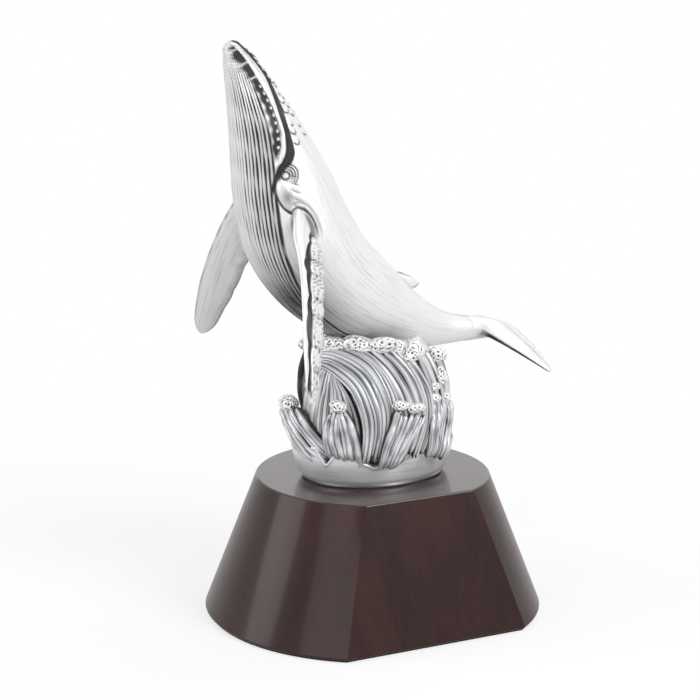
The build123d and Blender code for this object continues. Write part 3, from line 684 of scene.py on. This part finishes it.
def flipperPlace(blade):
    s = flipper
    one = np.full(1, whale["flipperRoot"][0])
    lean = math.radians(whale["flipperRoot"][1])
    root, _ = bodyPoint(one, np.full(1, whale["flipperRoot"][1]), 1.0, 0.0)
    _, dorsal, tailward = spineAt(one)
    normal = unit(dorsal * -math.cos(lean) + np.array([[0.0, -math.sin(lean), 0.0]]))
    along = unit(squareTo(normal, tailward))
    begin = root - normal * s["inside"]
    corner = root + normal * s["shoulder"] + along * blade["bow"]
    tip = root + unit(np.array([blade["span"]])) * s["length"]
    knots = np.linspace(0, 1, len(s["chordShares"]))

    def place(share, turn):
        t = share[:, None]
        centre = begin * (1 - t) ** 2 + corner * (2 * t * (1 - t)) + tip * t * t
        tangent = unit((corner - begin) * (1 - t) + (tip - corner) * t)
        turned = smooth(0.0, s["turnShare"], t)
        facing = unit(normal * (1 - turned) + tangent * turned)
        chordwise = unit(squareTo(facing, along * (1 - turned) + np.array([blade["across"]]) * turned))
        face = np.cross(facing, chordwise)
        halfChord = blade["chord"] / 2 * curveThrough(knots, s["chordShares"], share)
        halfThick = s["thickness"] / 2 * curveThrough(knots, s["thicknessShares"], share)
        x = np.cos(turn)
        y = np.sin(turn)
        wave = np.abs(np.sin(math.pi * s["knobs"] * share + waves(s["knobWaves"], share)))
        knob = wave * smooth(*s["knobRise"], share) * (1 - s["knobTaper"] * share) * smooth(*s["knobEdge"], x)
        line = np.interp(share, s["lineShares"], blade["lineAt"]) - s["lineWave"] * wave
        half = blade["lineHalf"] * (s["lineLeast"] + waves(s["lineWaves"], share))
        groove = blade["groove"] * fading(*s["lineEdge"], np.abs(x - line) * halfChord / half)
        groove *= window(s["lineEnds"], share) * (y > s["lineSide"])
        crumb = crumbled(share, x)
        rough = smooth(*s["crumbEdge"], x - line) * blade["groove"] * smooth(*s["crumbRise"], share)
        reach = halfChord * x + blade["knobHeight"] * knob
        thick = np.sign(y) * np.abs(y) ** s["fullness"] * halfThick * (1 + s["knobSwell"] * knob)
        thick += y * (s["crumbHeight"] * crumb * rough - s["lineDepth"] * groove)
        rounding = roundEnd(1 - share, s["tipShare"]) * roundEnd(share, s["rootShare"])
        points = centre + scaled(chordwise, reach * rounding) + scaled(face, thick * rounding)
        points[:, 1] *= blade["side"]
        # painted shade round both edges of the blade; the dark groove beside the knobbed edge is patina and
        # also painted shade of the blade's turned-away face
        pits = rise(s["crumbStain"], -crumb) + hump(s["knobStain"], wave)
        rim = blade["rim"] * smooth(*s["rimEdge"], np.abs(x)) * (s["rimLeast"] + waves(s["rimWaves"], share))
        dark = s["lineStainAndShade"] * groove + rough * pits + rim
        return points, dark, (share * s["length"], x * s["flowStep"])
    return place


for sideName in ("left", "right"):
    place = flipperPlace(flipper[sideName])
    blade = shapedBall(f"{sideName}Flipper", flipper["around"], flipper["rings"], place)
    finished(f"{sideName}Flipper", [blade], silverWhale, "antique_silver_whale", f"{sideName}_flipper")

# tail flukes: both blades sweep back and hang a little, their chord tipped up
fluke = {
    "halfSpan": 39.0, "chord": 17.0, "sweep": 18.0, "drop": 7.0, "power": 1.5, "lap": 13.0, "notch": 2.0,
    "droop": 17.0, "pitch": 12.0, "around": 112, "rings": 200, "rootFall": (0.0, 0.17), "tipShare": 0.03,
    "spanShares": (0.0, 0.12, 0.28, 0.6, 0.88, 1.0), "chordShares": (0.95, 0.9, 0.84, 0.6, 0.28, 0.08),
    "halfThick": (5.6, 4.3, 2.8, 1.7, 1.0, 0.5), "thinning": (0.6, -0.2, 1.0), "flowStep": 6,
    "rippleWaves": ((0.35, 46, 0),), "rippleEdge": (0.4, 0.9), "rippleRise": (0.2, 0.4),
    "grooveAt": 0.45, "grooveWidth": 0.7, "grooveEnds": (0.1, 0.3, 0.8, 0.97), "grooveDepth": 0.2,
    "grooveStain": 0.3, "under": (0.35, 0.0, 0.5), "underRise": (0.1, 0.25),
    "leadShadeEdge": (0.78, 0.95), "leadShadeSide": (-0.5, -0.2), "leadShadeRise": (0.10, 0.36),
    "leadRim": (0.4, -0.97, 0.05), "rim": (0.7, 0.08, 0.2), "rimEdge": (0.9, 0.98),
}


def flukePlace(share, turn):
    s = fluke
    centre, dorsal, tailward = spineAt(np.full(1, 1.0))
    droop = math.radians(s["droop"])
    pitch = math.radians(s["pitch"])
    back = tailward * math.cos(droop) - dorsal * math.sin(droop)
    chordwise = tailward * math.cos(pitch) + dorsal * math.sin(pitch)
    up = dorsal * math.cos(pitch) - tailward * math.sin(pitch)
    span = 1 - 2 * share
    out = np.abs(span)
    swept = out ** s["power"]
    root = fading(*s["rootFall"], out)
    length = s["chord"] * curveThrough(s["spanShares"], s["chordShares"], out)
    length += (s["lap"] - s["notch"]) * root
    thick = curveThrough(s["spanShares"], s["halfThick"], out)
    rounding = roundEnd(1 - out, s["tipShare"])
    x = np.cos(turn)
    y = np.sin(turn)
    reach = length / 2 * (1 + x * rounding) - s["lap"] * root
    ripple = waves(s["rippleWaves"], out) * smooth(*s["rippleEdge"], x) * smooth(*s["rippleRise"], out)
    reach += ripple * (1 - out)
    groove = bell((x - s["grooveAt"]) * length / 2, s["grooveWidth"]) * window(s["grooveEnds"], out)
    depth = y * thick * rounding * (1 - rise(s["thinning"], x))
    depth -= s["grooveDepth"] * groove * y
    points = centre + scaled(back, s["sweep"] * swept) - scaled(dorsal, s["drop"] * swept)
    points = points + scaled(chordwise, reach) + scaled(up, depth)
    points[:, 1] -= span * s["halfSpan"]
    # painted shade on the underside, along the lower side of the leading edge and round both edges of each
    # blade; the groove holds patina
    under = rise(s["under"], -y) * smooth(*s["underRise"], out)
    leadShade = smooth(*s["leadShadeEdge"], -x) * smooth(*s["leadShadeSide"], -y) * smooth(*s["leadShadeRise"], out)
    rim = smooth(*s["rimEdge"], x) + hump(s["leadRim"], x)
    dark = s["grooveStain"] * groove + under + leadShade + rim * rise(s["rim"], out)
    return points, dark, (out * s["halfSpan"], x * s["flowStep"])


tailFlukes = shapedBall("tailFlukes", fluke["around"], fluke["rings"], flukePlace)
finished("tailFlukes", [tailFlukes], silverWhale, "antique_silver_whale", "tail_flukes")

# wave core: a smooth bowl whose rim breaks into points, with the ridged swell standing in it
core = {
    "height": 62.0, "halfLength": 35.5, "halfDepth": 27.5, "facing": 27.0, "around": 320, "rings": 200,
    "topShare": 0.06, "footShare": 0.08, "flowStep": 30,
    "levelShares": (0.0, 0.06, 0.22, 0.48, 0.76, 1.0), "sizeShares": (0.83, 0.93, 1.0, 0.95, 0.84, 0.66),
    "rim": ((-90, 15), (-60, 17), (-38, 19), (-30, 11.5), (-14, 22), (-4, 14), (6, 11), (24, 13), (42, 20),
            (65, 17), (90, 15)),
    "rimStep": 1.3, "rimHalf": 0.7, "rimLip": (0.5, -1.2, 0.8), "rimStain": (0.8, 0.4, 0.8), "inset": 1.4,
    "squeeze": (4.5, 16, 30), "ridges": 46, "ridgeHeight": 0.55, "ridgeTwist": 0.12, "ridgeSwing": 1.5,
    "ridgeRate": 0.09, "ridgeStain": (0.5, -0.2, -0.9), "swellStain": 0.3, "frontClear": (0.6, 30, 70),
    "foot": (1.0, 0.6, 1.0), "footLeast": 0.5, "footWaves": ((0.5, 7, 0.6),), "footDark": (0.4, 0.2, 0.7),
    "bowlShade": (0.10, 0.0, 1.0), "bowlWaves": 5, "bowlSlant": 0.3, "sideRoom": 3.0, "leastBulge": 0.02,
}


def coreSize(level):
    return curveThrough(core["levelShares"], core["sizeShares"], np.clip(level, 0, 1))


# angle round the core, 0 where its front faces
def fromFront(turn):
    return (np.degrees(turn) + 90 + core["facing"] + 180) % 360 - 180


def rimLine(front):
    rows = core["rim"]
    return np.interp((front + 90) % 180 - 90, [row[0] for row in rows], [row[1] for row in rows])


def squeezed(front, height):
    inward = np.clip(-np.sin(np.radians(front)), 0, 1) ** 2
    return inward * rise(core["squeeze"], height)


def corePlace(share, turn):
    s = core
    side = 1 - s["topShare"] - s["footShare"]
    level = 1 - np.clip((share - s["topShare"]) / side, 0, 1)
    cap = np.clip(share / s["topShare"], 0, 1) * np.clip((1 - share) / s["footShare"], 0, 1)
    height = level * s["height"]
    front = fromFront(turn)
    rim = rimLine(front)
    bowl = fading(rim - s["rimHalf"], rim + s["rimHalf"], height)
    twist = s["ridgeTwist"] * height + s["ridgeSwing"] * np.sin(height * s["ridgeRate"] + 2 * turn)
    ridge = np.sin(s["ridges"] * turn + twist)
    lift = s["rimStep"] * bowl + (s["ridgeHeight"] * ridge - s["inset"]) * (1 - bowl)
    lift += hump(s["rimLip"], height - rim) - squeezed(front, height)
    lift += hump(s["foot"], height) * (s["footLeast"] + waves(s["footWaves"], turn))
    size = coreSize(level)
    x = np.cos(turn) * (s["halfLength"] * size + lift) * cap
    y = np.sin(turn) * (s["halfDepth"] * size + lift) * cap
    swell = s["swellStain"] + rise(s["ridgeStain"], ridge)
    swell = swell * (1 - rise(s["frontClear"], np.abs(front)))
    # darker along the very foot of the core, under its foot lip
    dark = swell * (1 - bowl) + hump(s["rimStain"], height - rim) + hump(s["footDark"], height)
    # painted shade in soft upright bands round the smooth bowl
    dark += bowl * rise(s["bowlShade"], np.sin(turn * s["bowlWaves"] + s["bowlSlant"] * height))
    return np.stack([x, y, plinthTop + height], -1), dark, (turn * s["flowStep"], height)


waveCore = shapedBall("waveCore", core["around"], core["rings"], corePlace)
finished("waveCore", [waveCore], silverWave, "antique_silver_wave", "wave_core")


# a place on the swell, sideways and up as its front is seen, lifted off its skin
def onSwell(side, height, lift, turned):
    s = core
    facing = math.radians(s["facing"])
    size = coreSize(height / s["height"])
    long = s["halfLength"] * size
    deep = s["halfDepth"] * size
    half = np.hypot(long * math.cos(facing), deep * math.sin(facing)) + s["sideRoom"]
    reach = np.hypot(long * math.sin(facing), deep * math.cos(facing))
    reach = reach * np.sqrt(np.clip(1 - (side / half) ** 2, s["leastBulge"], 1))
    azimuth = math.radians(turned - s["facing"])
    across = np.array([math.cos(azimuth), math.sin(azimuth), 0.0])
    outward = np.array([math.sin(azimuth), -math.cos(azimuth), 0.0])
    skin = scaled(across, side) + scaled(outward, reach)
    out = unit(skin)
    points = skin + scaled(out, lift)
    points[:, 2] = plinthTop + height
    return points, out


# one strand of water: a flattened, uneven tube that runs between two lines
strand = {
    "around": 20, "rings": 44, "widths": (0.5, 1.6), "lapping": 1.14, "tallLeast": 0.75, "tallGain": 0.25,
    "firsts": (0.0, 0.05), "lasts": (0.94, 1.0), "swings": (-0.25, 0.25), "phases": (0, 6),
    "plumps": (0.8, 1.25), "laneWaves": ((1.0, 7, 1),), "liftShares": (0.0, 0.15, 0.6, 1.0),
    "stepAlong": 0.01, "stepAcross": 0.02, "widthLeast": 0.9, "widthGain": 0.1, "widthExtra": 0.3,
    "endPower": 9, "highWaves": ((0.12, 9, 1), (0.05, 31, 2)), "stain": 0.16, "stainWaves": ((0.14, 13, 1),),
    "edgeStain": (0.9, 0.46, 0.92), "seamStain": (0.6, 0.1, 0.5), "seamWaves": ((0.35, 2, 3),),
    "seamWidth": 0.1, "seamFrom": 1.3, "flowAlong": 40, "flowAcross": 3, "flowApart": 50,
}


def strandPlace(lines, at, halfShare, thick, lifts, turned, rng):
    s = strand
    left = np.asarray(lines[0], float)
    right = np.asarray(lines[1], float)
    knots = np.linspace(0, 1, len(left))
    first, last = rng.uniform(*s["firsts"]), rng.uniform(*s["lasts"])
    swing, phase = rng.uniform(*s["swings"]), rng.uniform(*s["phases"])
    plump = rng.uniform(*s["plumps"])

    def middle(t, lane):
        lane = lane + swing * halfShare * waves(s["laneWaves"], t, phase)
        row = scaled(curveThrough(knots, left, t), 1 - lane) + scaled(curveThrough(knots, right, t), lane)
        return onSwell(row[:, 0], row[:, 1], np.interp(t, s["liftShares"], lifts), turned)

    def place(share, turn):
        t = first + (last - first) * share
        lane = np.full_like(t, at)
        centre, out = middle(t, lane)
        ahead, _ = middle(np.clip(t + s["stepAlong"], 0, 1), lane)
        behind, _ = middle(np.clip(t - s["stepAlong"], 0, 1), lane)
        beside, _ = middle(t, lane + s["stepAcross"])
        tangent = unit(ahead - behind)
        toSide = squareTo(tangent, beside - centre)
        width = np.linalg.norm(toSide, axis=-1) / s["stepAcross"] * halfShare
        width = width * (s["widthLeast"] + s["widthGain"] * plump) + s["widthExtra"]
        sideways = unit(toSide)
        normal = np.cross(tangent, sideways)
        normal *= np.sign((normal * out).sum(-1, keepdims=True))
        ends = (1 - np.abs(2 * share - 1) ** s["endPower"]) ** 0.5
        high = thick * plump * (1 + waves(s["highWaves"], t, phase))
        x = np.cos(turn)
        y = np.sin(turn)
        points = centre + scaled(sideways, x * width * ends) + scaled(normal, y * high * ends)
        seam = bell(x - waves(s["seamWaves"], t, phase), s["seamWidth"]) * (width > s["seamFrom"])
        stain = s["stain"] + waves(s["stainWaves"], t, phase) + rise(s["edgeStain"], np.abs(x))
        stain += seam * rise(s["seamStain"], y)
        return points, stain, (t * s["flowAlong"], x * s["flowAcross"] + at * s["flowApart"])
    return place


def strandBundle(name, lines, count, thick, lifts, turned, seed):
    s = strand
    rng = np.random.default_rng(seed)
    edges = np.concatenate([[0.0], np.cumsum(rng.uniform(*s["widths"], count))])
    edges = edges / edges[-1]
    strands = []
    for k in range(count):
        half = (edges[k + 1] - edges[k]) / 2
        tall = thick * (s["tallLeast"] + s["tallGain"] * 2 * half * count)
        at = (edges[k] + edges[k + 1]) / 2
        place = strandPlace(lines, at, half * s["lapping"], tall, lifts, turned, rng)
        strands.append(shapedBall(f"{name}{k}", s["around"], s["rings"], place))
    return strands


# foam: a lumpy cap full of round pits
foam = {
    "around": 132, "rings": 74, "pitSpacing": 1.85, "pitDepth": 0.85, "pitRadii": (0.34, 0.8),
    "pitScatter": 0.09, "pitDark": (0.42, 0.85), "lumps": 9, "lumpHeight": 0.15, "lumpRadius": 0.5,
    "lumpMiddle": 0.6, "flowRound": 4, "flowAlong": 9,
}
goldenTurn = math.pi * (1 + 5 ** 0.5)


def onBall(polar, spin):
    return np.stack([np.cos(spin) * np.sin(polar), np.sin(spin) * np.sin(polar), np.cos(polar)], -1)


def foamPlace(centre, size, turned, seed):
    s = foam
    rng = np.random.default_rng(seed)
    size = np.asarray(size, float)
    area = 4 * math.pi * (size[0] * size[1] + size[0] * size[2] + size[1] * size[2]) / 3
    count = int(area / s["pitSpacing"] ** 2)
    k = np.arange(count) + 0.5
    spread = onBall(np.arccos(1 - 2 * k / count), goldenTurn * k)
    pits = unit(spread + rng.normal(0, s["pitScatter"], (count, 3))) * size
    radii = rng.uniform(*s["pitRadii"], count)
    lumps = unit(rng.normal(0, 1, (s["lumps"], 3)))
    side, height, lift = [np.array([value]) for value in centre]
    origin, out = onSwell(side, height, lift, turned)
    upright = np.array([0.0, 0.0, 1.0])
    basis = np.stack([unit(np.cross(upright, out[0])), out[0], upright])

    def place(share, turn):
        ray = onBall(math.pi * share, turn)
        lumped = bell(np.linalg.norm(ray[:, None] - lumps[None], axis=-1), s["lumpRadius"]).sum(1)
        swell = 1 + s["lumpHeight"] * (lumped - s["lumpMiddle"])
        gaps = np.linalg.norm((ray * size)[:, None] - pits[None], axis=-1)
        pit = bell(gaps, radii[None]).max(1)
        local = scaled(ray * size, swell) - scaled(ray, s["pitDepth"] * pit)
        flow = (turn * s["flowRound"], share * s["flowAlong"])
        return origin + local @ basis, smooth(*s["pitDark"], pit), flow
    return place


def foamCaps(label, caps, turned, seed):
    shapes = []
    for k, (centre, size) in enumerate(caps):
        place = foamPlace(centre, size, turned, seed + k)
        shapes.append(shapedBall(f"{label}{k}", foam["around"], foam["rings"], place))
    return shapes


# lines of flow over the swell's front, from top to foot: sideways and up
flowLines = {
    "leftEdge": ((-20, 57), (-25, 51), (-29, 42), (-31, 32), (-31, 22), (-29, 12)),
    "innerLeft": ((-17, 54), (-20, 50), (-23, 43), (-26, 33), (-27, 23), (-25, 12)),
    "innerRight": ((-16, 51), (-13, 46), (-9, 39), (-6, 30), (-5, 20), (-6, 10)),
    "eyeEdge": ((-22, 51), (-17, 51), (-9, 44), (-5, 34), (-4, 23), (-6, 9)),
    "curlEdge": ((-24, 56), (-14, 60), (-2, 54.5), (5, 42), (7, 29), (4, 11)),
    "upperEdge": ((-9, 61.5), (0, 58), (8, 49), (13, 38), (14, 27), (10, 10)),
    "middleEdge": ((7, 61), (13, 55.5), (19, 46), (22, 36), (22, 26), (18, 11)),
    "rightEdge": ((26, 58), (29, 50), (31, 41), (31.5, 31), (30, 21), (28, 12)),
}
# sheets of strands between two of those lines
sheets = (
    {"lines": ("leftEdge", "innerLeft"), "count": 4, "thick": 1.5, "lifts": (0.0, -0.5, -1.5, -1.0)},
    {"lines": ("innerLeft", "innerRight"), "count": 8, "thick": 1.8, "lifts": (0.5, 0.6, 0.4, 0.0)},
    {"lines": ("eyeEdge", "curlEdge"), "count": 7, "thick": 2.2, "lifts": (1.5, 3.2, 3.4, 0.6)},
    {"lines": ("curlEdge", "upperEdge"), "count": 4, "thick": 2.2, "lifts": (0.5, 2.0, 1.8, 0.0)},
    {"lines": ("upperEdge", "middleEdge"), "count": 4, "thick": 2.3, "lifts": (0.5, 1.8, 1.4, 0.0)},
    {"lines": ("middleEdge", "rightEdge"), "count": 4, "thick": 2.2, "lifts": (0.5, 1.4, 0.8, 0.0)},
)
sheetSeed = 100
# splash jets, from foot to head, each with its foam caps: place on the swell and half sizes
jets = {
    "leftJet": {
        "lines": (((-24, 9), (-31, 16), (-36, 25), (-37.5, 31)),
                  ((-15, 16), (-21, 23), (-26, 29), (-29.5, 34))),
        "count": 6, "thick": 2.3, "lifts": (-0.5, 1.2, 2.5, 3.2),
        "caps": (((-33.5, 33, 3.2), (5.8, 4.4, 4.2)),),
    },
    "centreJet": {
        "lines": (((-17, 12), (-19, 22), (-18, 29), (-15, 35)), ((-4, 12), (-5, 22), (-7, 30), (-10, 36))),
        "count": 6, "thick": 1.8, "lifts": (0.0, 3.0, 4.5, 4.6),
        "caps": (((-12.5, 37, 4.6), (4.2, 3.2, 2.9)),),
    },
    "frontJet": {
        "lines": (((2, 10), (3.5, 20), (6, 28), (7.5, 36)), ((8, 9), (13, 19), (17, 27), (20, 33))),
        "count": 7, "thick": 1.9, "lifts": (0.5, 3.4, 4.2, 4.2),
        "caps": (((10, 37.5, 4.2), (4.0, 3.0, 2.3)), ((16, 36, 4.2), (4.4, 3.0, 2.3))),
    },
    "rightJet": {
        "lines": (((22, 12), (22.5, 24), (23.5, 31), (24, 37)), ((29, 10), (31.5, 20), (32.5, 28), (32, 36))),
        "count": 6, "thick": 1.9, "lifts": (0.0, 1.2, 1.4, 1.2),
        "caps": (((25.5, 38, 1.0), (3.6, 3.2, 2.6)), ((30, 37.5, 1.0), (3.6, 3.2, 2.6))),
    },
    "tailJet": {
        "lines": (((-22, 9), (-27, 17), (-30, 25), (-31, 30)), ((-13, 14), (-17, 21), (-21, 27), (-24, 31))),
        "count": 6, "thick": 2.2, "lifts": (0.0, 1.5, 2.5, 3.0),
        "caps": (((-27, 31, 3.0), (5.0, 4.0, 3.6)),),
    },
}
# foam lumps along the crest: place on the swell and half sizes
crests = (
    ((-17, 61, 1), (8.0, 5.0, 4.3)), ((-6.5, 62, 1), (7.8, 5.0, 4.1)), ((3.5, 61.5, 1), (7.8, 5.0, 4.1)),
    ((10.5, 60.5, 0), (4.2, 4.2, 3.6)), ((16, 58.5, 2), (6.3, 4.6, 4.1)), ((26, 55.5, 1.5), (5.8, 4.6, 3.9)),
    ((27.5, 46, 1.5), (3.6, 3.4, 5.0)), ((25, 43, 1.5), (2.8, 2.6, 2.4)), ((-26.5, 49, -1), (3.0, 3.0, 3.6)),
    ((-28.5, 42, -2), (2.6, 2.8, 3.2)),
)


def makeSheets(label, turned, node):
    strands = []
    for k, sheet in enumerate(sheets):
        lines = [flowLines[line] for line in sheet["lines"]]
        strands += strandBundle(f"{label}{k}", lines, sheet["count"], sheet["thick"], sheet["lifts"], turned,
                                sheetSeed + k)
    finished(label, strands, silverWave, "antique_silver_wave", node)


def makeJet(label, jet, turned, node, seed):
    strands = strandBundle(label, jet["lines"], jet["count"], jet["thick"], jet["lifts"], turned, seed)
    finished(label, strands, silverWave, "antique_silver_wave", node)
    caps = foamCaps(f"{label}Cap", jet["caps"], turned, seed)
    finished(f"{label}Foam", caps, silverFoam, "antique_silver_foam")


def makeCrest(label, turned, node, seed):
    finished(label, foamCaps(label, crests, turned, seed), silverFoam, "antique_silver_foam", node)


makeSheets("curlFront", 0.0, "wave_curl_front")
makeSheets("curlBack", 180.0, "wave_curl_back")
makeJet("leftJet", jets["leftJet"], 0.0, "splash_jet_left", 11)
makeJet("centreJet", jets["centreJet"], 0.0, "splash_jet_centre", 21)
makeJet("frontJet", jets["frontJet"], 0.0, "splash_jet_front", 31)
makeJet("rightJet", jets["rightJet"], 0.0, "splash_jet_right", 41)
makeJet("tailJet", jets["tailJet"], 180.0, "splash_jet_tail", 51)
makeJet("backJet", jets["centreJet"], 180.0, "splash_jet_back", 61)
makeCrest("crestFront", 0.0, "foam_crest_front", 71)
makeCrest("crestBack", 180.0, "foam_crest_back", 81)
print("wave ready")

# plinth, felt and fixings keep their own shapes and get finishes
keptNodes = {
    "plinth": mahogany, "felt_pad": felt, "fixing_screws": zincSteel, "fixing_washers": zincSteel,
    "belly_dowel": zincSteel, "threaded_inserts": turnedBrass,
}
for node, material in keptNodes.items():
    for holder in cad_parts[node].material_slots:
        holder.material = material
print("plinth finished")

# studio: pale floor, white surround, soft lamps
studio = {
    "floorHalf": 4.0, "floorGlow": 0.72, "floorPaint": 0.26, "floorBounce": 0.6,
    "whiteFrom": 0.16, "whiteTo": 0.42, "surround": 0.31, "target": (0.0, 0.0, 0.13),
    "lamps": {
        "topLamp": {"place": (0.3, 0.2, 1.6), "size": 1.2, "power": 8.5},
        "keyLamp": {"place": (0.5, -1.3, 0.95), "size": 0.9, "power": 18.0},
        "leftLamp": {"place": (-1.25, 0.5, 0.6), "size": 0.9, "power": 7.0},
        "frontLamp": {"place": (-1.5, -1.0, 0.3), "size": 1.4, "power": 9.0},
    },
}


def seenRays(start):
    path = start.tree.nodes.new("ShaderNodeLightPath")
    rays = [Wire(start.tree, path.outputs[f"Is {kind} Ray"]) for kind in ("Camera", "Glossy", "Transmission")]
    return (rays[0] + rays[1] + rays[2]).clamped()


def grey(level):
    return (level, level, level, 1.0)


def makeFloor():
    clearSelection()
    bpy.ops.mesh.primitive_plane_add(size=2 * studio["floorHalf"], location=(0, 0, 0))
    floor = bpy.context.object
    floor.name = "studioFloor"
    material, start = newMaterial("studioFloor")
    bounce = start.node("ShaderNodeBsdfDiffuse", None, {"Color": grey(studio["floorBounce"])})
    paint = start.node("ShaderNodeBsdfDiffuse", None, {"Color": grey(studio["floorPaint"])})
    glow = start.node("ShaderNodeEmission", None, {"Color": grey(1.0), "Strength": studio["floorGlow"]})
    white = start.node("ShaderNodeEmission", None, {"Color": grey(1.0), "Strength": 1.0})
    near = start.node("ShaderNodeAddShader", None, {0: paint, 1: glow})
    far = start.node("ShaderNodeVectorMath", {"operation": "LENGTH"}, {0: objectPlace(start)}, out="Value")
    far = far.between(studio["whiteFrom"], studio["whiteTo"])
    shown = start.node("ShaderNodeMixShader", None, {0: far, 1: near, 2: white})
    both = start.node("ShaderNodeMixShader", None, {0: seenRays(start), 1: bounce, 2: shown})
    start.node("ShaderNodeOutputMaterial", None, {"Surface": both})
    floor.data.materials.append(material)


def makeWorld():
    world = bpy.data.worlds.new("studioWorld")
    bpy.context.scene.world = world
    world.use_nodes = True
    world.node_tree.nodes.clear()
    start = Wire(world.node_tree)
    strength = seenRays(start) * (1.0 - studio["surround"]) + studio["surround"]
    sky = start.node("ShaderNodeBackground", None, {"Color": grey(1.0), "Strength": strength})
    start.node("ShaderNodeOutputWorld", None, {"Surface": sky})


def makeLamps():
    for name, lamp in studio["lamps"].items():
        clearSelection()
        bpy.ops.object.light_add(type="AREA", location=lamp["place"])
        light = bpy.context.object
        light.name = name
        light.data.shape = "DISK"
        light.data.size = lamp["size"]
        light.data.energy = lamp["power"]
        aim = Vector(studio["target"]) - Vector(lamp["place"])
        light.rotation_euler = aim.to_track_quat("-Z", "Y").to_euler()


# camera fitted to the plinth's edges in the photograph
view = {"place": (-0.4120, -0.7966, 0.3250), "pitch": 13.076, "yaw": -26.712, "lens": 108.47, "sensor": 36.0}


def makeCamera():
    clearSelection()
    turn = (math.radians(90 - view["pitch"]), 0, math.radians(view["yaw"]))
    bpy.ops.object.camera_add(location=view["place"], rotation=turn)
    camera = bpy.context.object
    camera.name = "photoCamera"
    camera.data.lens = view["lens"]
    camera.data.sensor_width = view["sensor"]
    bpy.context.scene.camera = camera


makeFloor()
makeWorld()
makeLamps()
makeCamera()
bpy.context.scene.view_settings.view_transform = "Standard"
print("studio ready")
